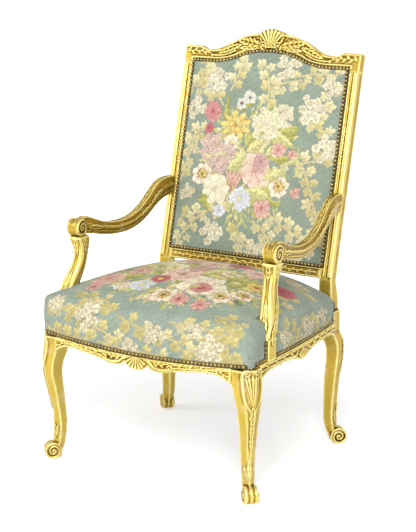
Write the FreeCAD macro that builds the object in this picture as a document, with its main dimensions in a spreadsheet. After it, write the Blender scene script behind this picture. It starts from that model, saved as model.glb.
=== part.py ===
import FreeCAD, Part
import math
import os
import Sketcher

# Fauteuil: an open armchair with a carved giltwood frame, a sprung seat and a flat stuffed back.
# Millimetres, +Z up, the sitter faces -Y, the origin is on the floor under the middle of the chair.

V = FreeCAD.Vector

SIZES = {
    # Seat plan, measured at the nail line
    "front_line": 323.4,
    "seat_front_width": 627.0,
    "seat_back_width": 568.0,
    "seat_depth": 488.4,
    "front_bow": 21.0,
    "side_bow": 11.0,
    "seat_corner_radius": 16.0,
    # Fits
    "joint_gap": 0.15,
    "fit_gap": 0.3,
    "nail_gap": 0.1,
    # Overlap of the features of one piece, and how far a cut runs past it
    "feature_lap": 2.0,
    "cut_over": 5.0,
    # Seat rails
    "rail_inner": 24.0,
    "side_rail_thick": 30.0,
    "back_rail_thick": 24.0,
    "carving_proud": 3.0,
    "carving_thick": 15.0,
    "nail_height": 354.0,
    "nail_dip": 12.0,
    "cover_lap": 6.0,
    # Lower edge of the front apron, half widths and heights
    "shell_half": 34.0,
    "lobe_mid": 66.0,
    "lobe_end": 104.0,
    "apron_flat": 205.0,
    "side_lobe_half": 52.0,
    "side_bracket": 70.0,
    "apron_sag": 2.0,
    "bracket_swell": 12.0,
    # Tenons
    "tenon_thick": 12.0,
    "tenon_long": 22.0,
    "tenon_root": 4.0,
    "tenon_front_set": 4.0,
    "tenon_side_set": 24.0,
    "tenon_rear_set": 2.0,
    "tenon_back_set": 9.0,
    "tenon_rail_set": 7.0,
    # Front legs: foot place, then outer and inner edge along the diagonal and square side, by height
    "leg_block": 48.0,
    "leg_lean": 7.2,
    "leg_top_out": 19.0,
    "leg_top_in": -42.0,
    "leg_top_side": 55.0,
    "knee_high_out": 20.0,
    "knee_high_in": -43.0,
    "knee_high_side": 55.0,
    "knee_out": 24.0,
    "knee_in": -28.0,
    "knee_side": 46.0,
    "thigh": 202.0,
    "thigh_out": 15.5,
    "thigh_in": -28.5,
    "thigh_side": 36.5,
    "shin": 148.0,
    "shin_out": 4.0,
    "shin_in": -33.0,
    "shin_side": 30.5,
    "ankle": 98.0,
    "ankle_out": -1.5,
    "ankle_in": -36.5,
    "ankle_side": 27.0,
    "heel": 52.0,
    "heel_out": 1.0,
    "heel_in": -32.0,
    "heel_side": 24.5,
    "sole": 32.0,
    "sole_out": 3.0,
    "sole_in": -26.5,
    "sole_side": 22.0,
    "toe": 14.0,
    "toe_out": 6.0,
    "toe_in": -17.5,
    "toe_side": 18.0,
    # Scroll feet
    "scroll_radius": 22.0,
    "scroll_out": 3.5,
    "scroll_flat": 0.8,
    "scroll_width": 33.0,
    # Back posts
    "post_block_width": 45.0,
    "post_block_depth": 40.0,
    "post_corner": 3.0,
    "rear_knee_out": 14.5,
    "rear_knee_in": -39.0,
    "rear_knee_side": 40.0,
    "rear_thigh": 215.0,
    "rear_thigh_out": 9.5,
    "rear_thigh_in": -36.5,
    "rear_thigh_side": 35.0,
    "rear_shin": 145.0,
    "rear_shin_out": 1.5,
    "rear_shin_in": -39.0,
    "rear_shin_side": 31.0,
    "rear_ankle": 98.0,
    "rear_ankle_out": -1.0,
    "rear_ankle_in": -39.5,
    "rear_ankle_side": 28.5,
    "rear_heel": 52.0,
    "rear_heel_out": 1.0,
    "rear_heel_in": -34.5,
    "rear_heel_side": 25.5,
    # Raked back: its foot, its lean in degrees, and lengths up its slope
    "back_rake": 13.86,
    "stile_width": 37.0,
    "stile_depth": 28.0,
    "rebate_depth": 4.0,
    "rail_start": 2.0,
    "back_panel_low": 30.0,
    "lower_rail_high": 42.0,
    "back_panel_side": 565.0,
    "back_panel_top": 601.0,
    "panel_flat": 172.0,
    "panel_bend": 108.0,
    "panel_bend_high": 578.0,
    "panel_sag": 2.2,
    "crest_lap": 13.0,
    "crest_corner": 603.0,
    "ear_half": 222.0,
    "dip_half": 196.0,
    "dip_high": 593.0,
    "crest_bend": 128.0,
    "crest_bend_high": 614.0,
    "crest_rise_half": 80.0,
    "crest_rise_high": 636.0,
    "crest_shell_half": 37.0,
    "crest_shell_foot": 645.0,
    "crest_top": 657.0,
    "crest_shell_proud": 5.0,
    "crest_shell_low": 604.0,
    "crest_shell_base": 14.8,
    "crest_tenon": 26.0,
    "crest_tenon_width": 18.0,
    # Arms: centre line by depth, top and underside heights
    "arm_scroll_radius": 23.5,
    "arm_scroll_width": 35.0,
    "arm_width": 31.0,
    "arm_overhang": 5.0,
    "arm_fore": 112.0,
    "arm_waist": 36.0,
    "arm_turn": 32.0,
    "arm_rise": 92.0,
    "arm_crown": 145.0,
    "arm_tenon_thick": 12.0,
    "arm_tenon_long": 16.0,
    # Arm supports: foot on the side rail, then centres, widths across and along, by height
    "support_out": 6.0,
    "support_foot_deep": 30.0,
    "support_foot_wide": 36.0,
    "support_base_out": -2.0,
    "support_base_set": 5.0,
    "support_base_swell": 3.0,
    "support_deeper": 2.0,
    "support_top_deeper": 4.0,
    "support_low_wide": 38.0,
    "support_neck_wide": 33.0,
    "support_mid_wide": 31.0,
    "support_top_wide": 35.0,
    "support_tenon": 16.0,
    "support_tenon_wide": 14.0,
    # Corner blocks
    "corner_block": 62.0,
    # Seat upholstery
    "cover_thick": 2.5,
    "seat_roll": 24.0,
    "seat_peak_y": 42.0,
    "seat_tuck": 8.0,
    "support_slot": 1.0,
    "hessian_thick": 1.2,
    "hessian_inset": 16.0,
    "hessian_slope": 50.0,
    "web_width": 50.0,
    "web_thick": 1.6,
    "web_count": 4,
    "web_step_x": 118.0,
    "web_step_y": 104.0,
    "web_middle_y": 78.0,
    "web_lap": 12.0,
    "bottom_cloth_thick": 0.8,
    # Springs
    "spring_radius": 40.0,
    "spring_waist": 26.0,
    "spring_wire": 3.6,
    "spring_turns": 3,
    "spring_steps": 8,
    "spring_step_y": 125.0,
    # Back upholstery
    "back_crown": 13.0,
    "back_web_width": 50.0,
    "back_web_thick": 1.4,
    "back_web_step_x": 136.5,
    "back_web_step_z": 118.0,
    "back_web_first": 112.0,
    "back_web_levels": 4,
    "back_web_lap": 6.5,
    "nail_land": 11.5,
    "nail_land_rise": 3.9,
    "outer_cloth_thick": 1.2,
    "outer_cloth_inset": 10.0,
    # Nails
    "nail_radius": 4.8,
    "nail_rise": 2.6,
    "nail_pitch": 10.6,
    "nail_sides": 5,
    "nail_inset": 4.3,
    "nail_corner": 35.0,
}

# Heights past the nail line, so that the seat, arms and back ride on it
RISES = {
    "rail_under": -28.0,
    "rail_top": 22.0,
    "shell_low": -50.0,
    "lobe_notch": -37.0,
    "lobe_low": -48.0,
    "lobe_rise": -41.0,
    "apron_high": -28.5,
    "apron_end": -54.0,
    "side_lobe_low": -45.0,
    "side_apron_end": -48.0,
    "tenon_low": -20.0,
    "tenon_high": 16.0,
    "leg_shoulder": -12.0,
    "knee_high": -54.0,
    "knee": -98.0,
    "post_block_low": -36.0,
    "post_block_high": 51.0,
    "rear_knee": -69.0,
    "back_low": 108.0,
    "arm_scroll_high": 249.5,
    "arm_tip_top": 272.0,
    "arm_tip_under": 230.0,
    "arm_fore_top": 258.5,
    "arm_fore_under": 219.5,
    "arm_waist_top": 243.0,
    "arm_waist_under": 209.0,
    "arm_turn_top": 251.0,
    "arm_turn_under": 213.0,
    "arm_rise_top": 283.5,
    "arm_rise_under": 236.0,
    "arm_crown_top": 324.0,
    "arm_crown_under": 269.0,
    "arm_back_top": 333.0,
    "arm_back_under": 285.0,
    "arm_tenon_low": 298.0,
    "arm_tenon_high": 322.0,
    "support_foot_low": -6.0,
    "support_foot_top": 46.0,
    "support_base_high": 76.0,
    "support_low": 108.0,
    "support_neck": 146.0,
    "support_mid": 182.0,
    "support_top": 226.0,
    "corner_block_low": -16.0,
    "corner_block_high": 16.0,
    "seat_wall": 70.0,
    "seat_edge": 92.0,
    "seat_crown": 152.0,
    "seat_rear_high": 112.0,
    "seat_tuck_high": 92.0,
    "hessian_high": 74.0,
}

# Half widths past the seat front's half width, so that front legs and arms keep to the seat
FRONT_SIDES = {
    "front_foot_x": -11.9,
    "arm_front_x": -17.0,
    "support_low_x": -12.3,
    "support_neck_x": -21.0,
    "support_mid_x": -24.7,
    "support_top_x": -20.5,
}

# Half widths past the seat back's half width, so that posts and back keep to the seat
BACK_SIDES = {
    "back_foot_x": -7.8,
    "back_outer": -10.0,
    "back_half": -38.0,
}

# Distances to the front past the front line
FRONT_DEPTHS = {
    "front_foot_y": -24.8,
    "arm_front_y": -136.9,
    "arm_tip": -145.4,
    "support_y": -96.4,
    "support_low_y": -113.9,
    "support_neck_y": -130.4,
    "support_mid_y": -140.4,
    "support_top_y": -139.4,
}

# Distances to the rear past the seat's back line
BACK_DEPTHS = {
    "back_foot_y": 40.8,
    "back_front": -1.8,
    "seat_rear": 35.0,
}

# Each group of offsets with what it is measured from
OFFSETS = (
    (RISES, "Sizes.nail_height"),
    (FRONT_SIDES, "Sizes.seat_front_width / 2"),
    (BACK_SIDES, "Sizes.seat_back_width / 2"),
    (FRONT_DEPTHS, "Sizes.front_line"),
    (BACK_DEPTHS, "Sizes.seat_depth - Sizes.front_line"),
)


class SizeNames:
    """Gives the sheet reference of a named size, or of an offset added to what it is measured from."""

    def __getattr__(self, name):
        for group, base in OFFSETS:
            if name in group:
                return f"({base} + Sizes.{name})"
        if name not in SIZES:
            raise AttributeError(name)
        return "Sizes." + name


S = SizeNames()

doc = FreeCAD.newDocument("Fauteuil")
sheet = doc.addObject("Spreadsheet::Sheet", "Sizes")
rows = list(SIZES.items())
for group, base in OFFSETS:
    rows += group.items()
for row, (alias, number) in enumerate(rows, 1):
    sheet.set(f"A{row}", str(number))
    sheet.setAlias(f"A{row}", alias)
doc.recompute()

PIECES = []


def value(expression):
    """The number that an expression of the sheet's sizes gives."""
    return float(sheet.evalExpression(str(expression)))


def new_body(label, raked=False, kept=True):
    """A body in the chair's frame or in the raked back's, kept as a piece or used to cut one."""
    body = doc.addObject("PartDesign::Body", label)
    body.Label = label
    if raked:
        lean = FreeCAD.Rotation(V(1, 0, 0), -value(S.back_rake))
        body.Placement = FreeCAD.Placement(V(0, 0, 0), lean)
        body.setExpression("Placement.Rotation.Angle", f"-{S.back_rake} * 1 deg")
        body.setExpression("Placement.Base.y", S.back_front)
        body.setExpression("Placement.Base.z", S.back_low)
    if kept:
        PIECES.append(body)
    return body


def sketch_on(body, role, place="0"):
    """A sketch on one of the body's planes, moved to a place along the third axis."""
    number = len(body.Group)
    sketch = body.newObject("Sketcher::SketchObject", f"{body.Label}_sketch_{number}")
    plane = next(item for item in body.Origin.OriginFeatures if item.Role == role)
    sketch.AttachmentSupport = (plane, [""])
    sketch.MapMode = "FlatFace"
    sign = "-" if role == "XZ_Plane" else ""
    sketch.setExpression("AttachmentOffset.Base.z", f"{sign}({place})")
    return sketch


def hold_point(sketch, edge, end, across, up):
    """Hold an edge's end, or a point, at its two distances from the sketch's origin."""
    for kind, expression in (("DistanceX", across), ("DistanceY", up)):
        held = Sketcher.Constraint(kind, -1, 1, edge, end, value(expression))
        index = sketch.addConstraint(held)
        sketch.setExpression(f"Constraints[{index}]", str(expression))


def draw(sketch, points):
    """A closed outline. A point with four values is reached by an arc through the last two."""
    spots = [V(value(point[0]), value(point[1]), 0) for point in points]
    ends = []
    for index, start in enumerate(spots):
        following = (index + 1) % len(points)
        finish = spots[following]
        target = points[following]
        if len(target) == 4:
            middle = V(value(target[2]), value(target[3]), 0)
            turned = (middle - start).cross(finish - middle).z < 0
            route = (finish, middle, start) if turned else (start, middle, finish)
            edge = sketch.addGeometry(Part.Arc(*route), False)
            ends.append((edge, 2, 1) if turned else (edge, 1, 2))
            on_arc = sketch.addGeometry(Part.Point(middle), True)
            hold_point(sketch, on_arc, 1, target[2], target[3])
            sketch.addConstraint(Sketcher.Constraint("PointOnObject", on_arc, 1, edge))
        else:
            edge = sketch.addGeometry(Part.LineSegment(start, finish), False)
            ends.append((edge, 1, 2))
    for index, (edge, first, last) in enumerate(ends):
        other, other_first, other_last = ends[(index + 1) % len(ends)]
        sketch.addConstraint(Sketcher.Constraint("Coincident", edge, last, other, other_first))
        hold_point(sketch, edge, first, points[index][0], points[index][1])
    return sketch


def draw_circle(sketch, across, up, radius):
    """A circle held by its centre and radius."""
    centre = V(value(across), value(up), 0)
    edge = sketch.addGeometry(Part.Circle(centre, V(0, 0, 1), value(radius)), False)
    hold_point(sketch, edge, 3, across, up)
    index = sketch.addConstraint(Sketcher.Constraint("Radius", edge, value(radius)))
    sketch.setExpression(f"Constraints[{index}]", str(radius))
    return sketch


def grow(body, kind, sketch, length, reverse=False, both=False):
    """A Pad or Pocket of a sketch."""
    feature = body.newObject(f"PartDesign::{kind}", f"{body.Label}_{kind}_{len(body.Group)}")
    feature.Profile = sketch
    feature.setExpression("Length", str(length))
    feature.Reversed = reverse
    feature.Midplane = both
    return feature


def loft(body, kind, sketches, ruled=False):
    """A loft through sketches that adds to the body or cuts it."""
    feature = body.newObject(f"PartDesign::{kind}Loft", f"{body.Label}_loft_{len(body.Group)}")
    feature.Profile = sketches[0]
    feature.Sections = sketches[1:]
    feature.Ruled = ruled
    return feature


def rectangle(left, right, low, high):
    """The four corners of a rectangle."""
    return [(left, low), (right, low), (right, high), (left, high)]


def block(body, kind, span_x, span_y, span_z):
    """An upright box that is added to the body, or cut out of it."""
    sketch = draw(sketch_on(body, "XY_Plane", span_z[0]), rectangle(*span_x, *span_y))
    return grow(body, kind, sketch, f"({span_z[1]}) - ({span_z[0]})", reverse=(kind == "Pocket"))


def widen(span, gap):
    """A span with room added at both ends."""
    return (f"({span[0]}) - ({gap})", f"({span[1]}) + ({gap})")


def hollow(label, outer, inner):
    """The piece that is left of one form when another is taken out of it."""
    piece = doc.addObject("Part::Cut", label)
    piece.Label = label
    piece.Base = outer
    piece.Tool = inner
    PIECES.append(piece)
    return piece


def mirror(source, label):
    """The piece on the other side of the chair."""
    piece = doc.addObject("Part::Mirroring", label)
    piece.Label = label
    piece.Source = source
    piece.Normal = V(1, 0, 0)
    PIECES.append(piece)
    return piece


# Seat plan, used by rails, legs and upholstery alike
HALF_FRONT = f"({S.seat_front_width} / 2)"
HALF_BACK = f"({S.seat_back_width} / 2)"
SEAT_BACK = f"({S.seat_depth} - {S.front_line})"
SKIN = f"({S.cover_thick} + {S.fit_gap})"
STILE_INNER = f"({S.back_outer} - {S.stile_width})"
COVER_EDGE = f"({S.nail_height} - {S.cover_lap})"
SHOULDER = f"({COVER_EDGE} - {S.fit_gap})"
LEG_INNER_X = f"({HALF_FRONT} - {S.leg_block})"
LEG_INNER_Y = f"(-{S.front_line} + {S.leg_block})"
SIDE_START = f"({LEG_INNER_Y} + {S.joint_gap})"
SIDE_FINISH = f"({SEAT_BACK} - {S.joint_gap})"
FRONT_INNER = f"(-{S.front_line} + {S.rail_inner})"


def front_y(across):
    """Depth of the bowed front at a distance from the middle."""
    return f"(-{S.front_line} - {S.front_bow} * (1 - (({across}) / {HALF_FRONT})^2))"


def side_x(depth):
    """Half width of the seat at a depth, with the sides' bow."""
    share = f"((({depth}) + {S.front_line}) / {S.seat_depth})"
    taper = f"({HALF_FRONT} - {HALF_BACK}) * {share}"
    return f"({HALF_FRONT} - {taper} + 4 * {S.side_bow} * {share} * (1 - {share}))"


def side_inner(depth):
    """Inner face of the side rail, which is straight, at a depth."""
    share = f"((({depth}) - {SIDE_START}) / ({SIDE_FINISH} - {SIDE_START}))"
    first = f"({side_x(SIDE_START)} - {S.side_rail_thick})"
    last = f"({side_x(SIDE_FINISH)} - {S.side_rail_thick})"
    return f"({first} + ({last} - {first}) * {share})"


def spread(start, width):
    """A span from its start and its width."""
    return (start, f"({start}) + {width}")


def across_middle(span):
    """The same span on the chair's other side."""
    return (f"-({span[1]})", f"-({span[0]})")


def around(middle, width):
    """A span from its middle and its width."""
    return (f"({middle}) - ({width}) / 2", f"({middle}) + ({width}) / 2")


def leg_section(body, height, outer, inner, side, foot_x, foot_y, front):
    """A leg's section: a square set along the rails, its outer corner cut to a flat face."""
    lean = f"({S.leg_lean} * (({height}) / {S.leg_shoulder})^2)" if front else "0"
    near_x = f"({foot_x} + ({inner}) * sqrt(0.5) - {lean})"
    near = f"({foot_y} + ({inner}) * sqrt(0.5) + {lean})"
    cut = f"max(2; (({inner}) - ({outer})) * sqrt(2) + 2 * {side})"
    far_x = f"({near_x} + {side})"
    far = f"({near} + {side})"
    points = [
        (near_x, near),
        (far_x, near),
        (far_x, f"{far} - {cut}"),
        (f"{far_x} - {cut}", far),
        (near_x, far),
    ]
    if front:
        points = [(x, f"-({y})") for x, y in points]
    return draw(sketch_on(body, "XY_Plane", height), points)


def scroll_foot(body, foot_x, foot_y, front):
    """The foot: a scroll across the leg's diagonal, with a narrow flat to stand on."""
    turn = -45 if front else 45
    depth = f"{foot_y}" if front else f"-{foot_y}"
    centre_high = f"({S.scroll_radius} - {S.scroll_flat})"
    sketch = sketch_on(body, "XZ_Plane")
    sketch.AttachmentOffset = FreeCAD.Placement(V(0, 0, 0), FreeCAD.Rotation(V(0, 1, 0), turn))
    sketch.setExpression("AttachmentOffset.Base.x", foot_x)
    sketch.setExpression("AttachmentOffset.Base.z", depth)
    draw_circle(sketch, S.scroll_out, centre_high, S.scroll_radius)
    grow(body, "Pad", sketch, S.scroll_width, both=True)
    reach = f"3 * {S.scroll_width}"
    span_x = (f"{foot_x} - {reach}", f"{foot_x} + {reach}")
    span_y = (f"-({depth}) - {reach}", f"-({depth}) + {reach}")
    block(body, "Pocket", span_x, span_y, (f"-2 * {S.scroll_radius}", "0"))


# Places that two joined pieces share
FRONT_TENON_Y = spread(f"-{S.front_line} + {S.tenon_front_set}", S.tenon_thick)
FRONT_TENON_X = (f"{LEG_INNER_X} - {S.tenon_root}", f"{LEG_INNER_X} + {S.tenon_long}")
SIDE_TENON_X = spread(f"{HALF_FRONT} - {S.tenon_side_set}", S.tenon_thick)
SIDE_TENON_Y = (f"{LEG_INNER_Y} - {S.tenon_long}", f"{LEG_INNER_Y} + {S.tenon_root}")
TENON_Z = (S.tenon_low, S.tenon_high)
REAR_TENON_X = spread(f"{side_inner(SIDE_FINISH)} + {S.tenon_rear_set}", S.tenon_thick)
REAR_TENON_Y = (f"{SEAT_BACK} - {S.tenon_root}", f"{SEAT_BACK} + {S.tenon_long}")
BACK_RAIL_FRONT = f"({SEAT_BACK} + {S.post_block_depth} - {S.back_rail_thick})"
BACK_TENON_Y = spread(f"{BACK_RAIL_FRONT} + {S.tenon_back_set}", S.tenon_thick)
BACK_TENON_X = (f"{STILE_INNER} - {S.tenon_root}", f"{STILE_INNER} + {S.tenon_long}")
SUPPORT_INNER = f"({side_x('-' + S.support_y)} + {S.support_out} - {S.support_foot_deep})"
SUPPORT_Y = around(f"-{S.support_y}", S.support_foot_wide)


def front_leg():
    """Front leg: scroll foot, tapering shank, knee, and a block that takes two rail tenons."""
    body = new_body("front_leg_right")
    place = (S.front_foot_x, S.front_foot_y, True)
    stations = [
        (S.toe, S.toe_out, S.toe_in, S.toe_side),
        (S.sole, S.sole_out, S.sole_in, S.sole_side),
        (S.heel, S.heel_out, S.heel_in, S.heel_side),
        (S.ankle, S.ankle_out, S.ankle_in, S.ankle_side),
        (S.shin, S.shin_out, S.shin_in, S.shin_side),
        (S.thigh, S.thigh_out, S.thigh_in, S.thigh_side),
        (S.knee, S.knee_out, S.knee_in, S.knee_side),
        (S.knee_high, S.knee_high_out, S.knee_high_in, S.knee_high_side),
        (S.leg_shoulder, S.leg_top_out, S.leg_top_in, S.leg_top_side),
    ]
    loft(body, "Additive", [leg_section(body, *station, *place) for station in stations])
    far_x = f"({HALF_FRONT} - {SKIN})"
    far_y = f"(-{S.front_line} + {SKIN})"
    cut = f"(0.7 * {S.seat_corner_radius})"
    top = [
        (LEG_INNER_X, LEG_INNER_Y),
        (LEG_INNER_X, far_y),
        (f"{far_x} - {cut}", far_y),
        (far_x, f"{far_y} + {cut}"),
        (far_x, LEG_INNER_Y),
    ]
    low = f"({S.leg_shoulder} - {S.feature_lap})"
    grow(body, "Pad", draw(sketch_on(body, "XY_Plane", low), top), f"{S.rail_top} - {low}")
    scroll_foot(body, S.front_foot_x, S.front_foot_y, True)
    shoulders = (S.knee, f"{S.rail_top} + {S.tenon_root}")
    beside = (f"{LEG_INNER_X} - {S.leg_block}", LEG_INNER_X)
    behind = (LEG_INNER_Y, f"{LEG_INNER_Y} + {S.leg_block}")
    block(body, "Pocket", beside, (f"-2 * {S.front_line}", "0"), shoulders)
    block(body, "Pocket", ("0", f"2 * {HALF_FRONT}"), behind, shoulders)
    gap = S.joint_gap
    block(body, "Pocket", widen(FRONT_TENON_X, gap), widen(FRONT_TENON_Y, gap), widen(TENON_Z, gap))
    block(body, "Pocket", widen(SIDE_TENON_X, gap), widen(SIDE_TENON_Y, gap), widen(TENON_Z, gap))
    return body


def slope_point(along, behind):
    """Depth and height of a point of the raked back: its length up the slope and behind the front."""
    lean = f"({S.back_rake} * 1 deg)"
    depth = f"({S.back_front} + ({along}) * sin{lean} + ({behind}) * cos{lean})"
    height = f"({S.back_low} + ({along}) * cos{lean} - ({behind}) * sin{lean})"
    return (depth, height)


def slope_box(low, high, front, back):
    """A rectangle in the raked side view."""
    corners = rectangle(low, high, front, back)
    return [slope_point(along, behind) for along, behind in corners]


CREST_FOOT = f"({S.back_panel_side} - {S.crest_lap})"
CREST_TENON_X = spread(f"{STILE_INNER} + {S.tenon_back_set}", S.crest_tenon_width)
SLOPE_TENON = spread(S.tenon_back_set, S.tenon_thick)
LOWER_TENON = (f"{S.rail_start} + {S.tenon_rail_set}", f"{S.lower_rail_high} - {S.tenon_rail_set}")
LOWER_TENON_X = (f"{STILE_INNER} - {S.tenon_root}", f"{STILE_INNER} + {S.tenon_long}")
ARM_TENON_Z = (S.arm_tenon_low, S.arm_tenon_high)


def arm_x(depth):
    """Middle of the arm at a depth: it runs from the front scroll in to the stile."""
    share = f"((({depth}) + {S.arm_front_y}) / ({S.arm_front_y} + {ARM_END}))"
    end = f"({S.back_outer} + {S.arm_overhang} - {S.arm_width} / 2)"
    return f"({S.arm_front_x} + ({end} - {S.arm_front_x}) * {share})"


ARM_MIDDLE = f"(({S.arm_back_top} + {S.arm_back_under}) / 2)"
ARM_END = f"({S.back_front} + ({ARM_MIDDLE} - {S.back_low}) * tan({S.back_rake} * 1 deg))"
ARM_TENON_X = around(arm_x(ARM_END), S.arm_tenon_thick)
ARM_TENON_Y = (f"{ARM_END} - 2 * {S.tenon_root}", f"{ARM_END} + {S.arm_tenon_long}")


def back_post():
    """Back leg, seat block and raked stile in one piece."""
    body = new_body("back_post_right")
    place = (S.back_foot_x, S.back_foot_y, False)
    stations = [
        (S.toe, S.toe_out, S.toe_in, S.toe_side),
        (S.sole, S.sole_out, S.sole_in, S.sole_side),
        (S.rear_heel, S.rear_heel_out, S.rear_heel_in, S.rear_heel_side),
        (S.rear_ankle, S.rear_ankle_out, S.rear_ankle_in, S.rear_ankle_side),
        (S.rear_shin, S.rear_shin_out, S.rear_shin_in, S.rear_shin_side),
        (S.rear_thigh, S.rear_thigh_out, S.rear_thigh_in, S.rear_thigh_side),
        (S.rear_knee, S.rear_knee_out, S.rear_knee_in, S.rear_knee_side),
    ]
    sections = [leg_section(body, *station, *place) for station in stations]
    far_x = f"({STILE_INNER} + {S.post_block_width})"
    far_y = f"({SEAT_BACK} + {S.post_block_depth})"
    seat_block = [
        (STILE_INNER, SEAT_BACK),
        (far_x, SEAT_BACK),
        (far_x, f"{far_y} - {S.post_corner}"),
        (f"{far_x} - {S.post_corner}", far_y),
        (STILE_INNER, far_y),
    ]
    sections.append(draw(sketch_on(body, "XY_Plane", S.post_block_low), seat_block))
    loft(body, "Additive", sections)
    block_sketch = draw(sketch_on(body, "XY_Plane", S.post_block_low), seat_block)
    grow(body, "Pad", block_sketch, f"{S.rail_top} - {S.post_block_low}")
    stile = [
        (SEAT_BACK, S.post_block_low),
        (SEAT_BACK, S.rail_top),
        slope_point("0", "0"),
        slope_point(CREST_FOOT, "0"),
        slope_point(CREST_FOOT, S.stile_depth),
        slope_point(S.rail_start, S.stile_depth),
        (far_y, S.post_block_high),
        (far_y, S.post_block_low),
    ]
    grow(body, "Pad", draw(sketch_on(body, "YZ_Plane", STILE_INNER), stile), S.stile_width)
    tenon = slope_box(f"{CREST_FOOT} - {S.tenon_root}", f"{CREST_FOOT} + {S.crest_tenon}", *SLOPE_TENON)
    grow(body, "Pad", draw(sketch_on(body, "YZ_Plane", CREST_TENON_X[0]), tenon), S.crest_tenon_width)
    rebate = slope_box(f"{S.back_panel_low} - {S.fit_gap}", f"{CREST_FOOT} + {S.feature_lap}",
                       f"-{S.feature_lap}", S.rebate_depth)
    width = f"{S.back_half} + {S.fit_gap} - {STILE_INNER}"
    grow(body, "Pocket", draw(sketch_on(body, "YZ_Plane", STILE_INNER), rebate), width, reverse=True)
    mortise = slope_box(*widen(LOWER_TENON, S.joint_gap), *widen(SLOPE_TENON, S.joint_gap))
    depth = f"{S.tenon_long} + {S.joint_gap}"
    grow(body, "Pocket", draw(sketch_on(body, "YZ_Plane", STILE_INNER), mortise), depth, reverse=True)
    gap = S.joint_gap
    block(body, "Pocket", widen(REAR_TENON_X, gap), widen(REAR_TENON_Y, gap), widen(TENON_Z, gap))
    block(body, "Pocket", widen(BACK_TENON_X, gap), widen(BACK_TENON_Y, gap), widen(TENON_Z, gap))
    block(body, "Pocket", widen(ARM_TENON_X, gap), widen(ARM_TENON_Y, gap), widen(ARM_TENON_Z, gap))
    scroll_foot(body, S.back_foot_x, S.back_foot_y, False)
    return body


def front_rail():
    """Bowed front rail: a plain bar under the cover and a shaped apron that stands proud of it."""
    body = new_body("front_seat_rail")
    end = f"({LEG_INNER_X} - {S.joint_gap})"
    face_end = f"{front_y(end)} - {S.carving_proud}"
    face_mid = f"{front_y('0')} - {S.carving_proud}"
    apron = [
        (f"-{end}", face_end),
        (end, face_end, "0", face_mid),
        (end, f"{face_end} + {S.carving_thick}"),
        (f"-{end}", f"{face_end} + {S.carving_thick}", "0", f"{face_mid} + {S.carving_thick}"),
    ]
    low = f"({S.apron_end} - {S.feature_lap})"
    grow(body, "Pad", draw(sketch_on(body, "XY_Plane", low), apron), f"{S.nail_height} - {low}")
    beyond = f"({end} + {S.cut_over})"
    sag_high = f"({S.apron_high} + {S.lobe_rise}) / 2 + {S.apron_sag}"
    bracket_high = f"({S.apron_high} * 2 + {S.apron_end}) / 3"
    under = [
        (S.shell_half, S.lobe_notch, "0", S.shell_low),
        (S.lobe_end, S.lobe_rise, S.lobe_mid, S.lobe_low),
        (S.apron_flat, S.apron_high, f"({S.apron_flat} + {S.lobe_end}) / 2", sag_high),
        (beyond, S.apron_end, f"({S.apron_flat} + {end}) / 2 + {S.bracket_swell}", bracket_high),
        (beyond, f"{low} - {S.cut_over}"),
    ]
    under += mirrored(under)
    through = f"4 * {S.leg_block} + {S.front_bow}"
    far = f"-{S.front_line} - 2 * {S.leg_block} - {S.front_bow}"
    grow(body, "Pocket", draw(sketch_on(body, "XZ_Plane", far), under), through)
    dip = [
        (f"-{HALF_FRONT}", SHOULDER),
        (HALF_FRONT, SHOULDER, "0", f"{SHOULDER} - {S.nail_dip}"),
        (HALF_FRONT, f"{S.nail_height} + {S.cut_over}"),
        (f"-{HALF_FRONT}", f"{S.nail_height} + {S.cut_over}"),
    ]
    grow(body, "Pocket", draw(sketch_on(body, "XZ_Plane", far), dip), through)
    bar_end = f"{front_y(end)} + {SKIN}"
    bar = [
        (f"-{end}", bar_end),
        (end, bar_end, "0", f"{front_y('0')} + {SKIN}"),
        (end, FRONT_INNER),
        (f"-{end}", FRONT_INNER),
    ]
    plan = draw(sketch_on(body, "XY_Plane", S.rail_under), bar)
    grow(body, "Pad", plan, f"{S.rail_top} - {S.rail_under}")
    block(body, "Pad", FRONT_TENON_X, FRONT_TENON_Y, TENON_Z)
    block(body, "Pad", across_middle(FRONT_TENON_X), FRONT_TENON_Y, TENON_Z)
    return body


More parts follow.
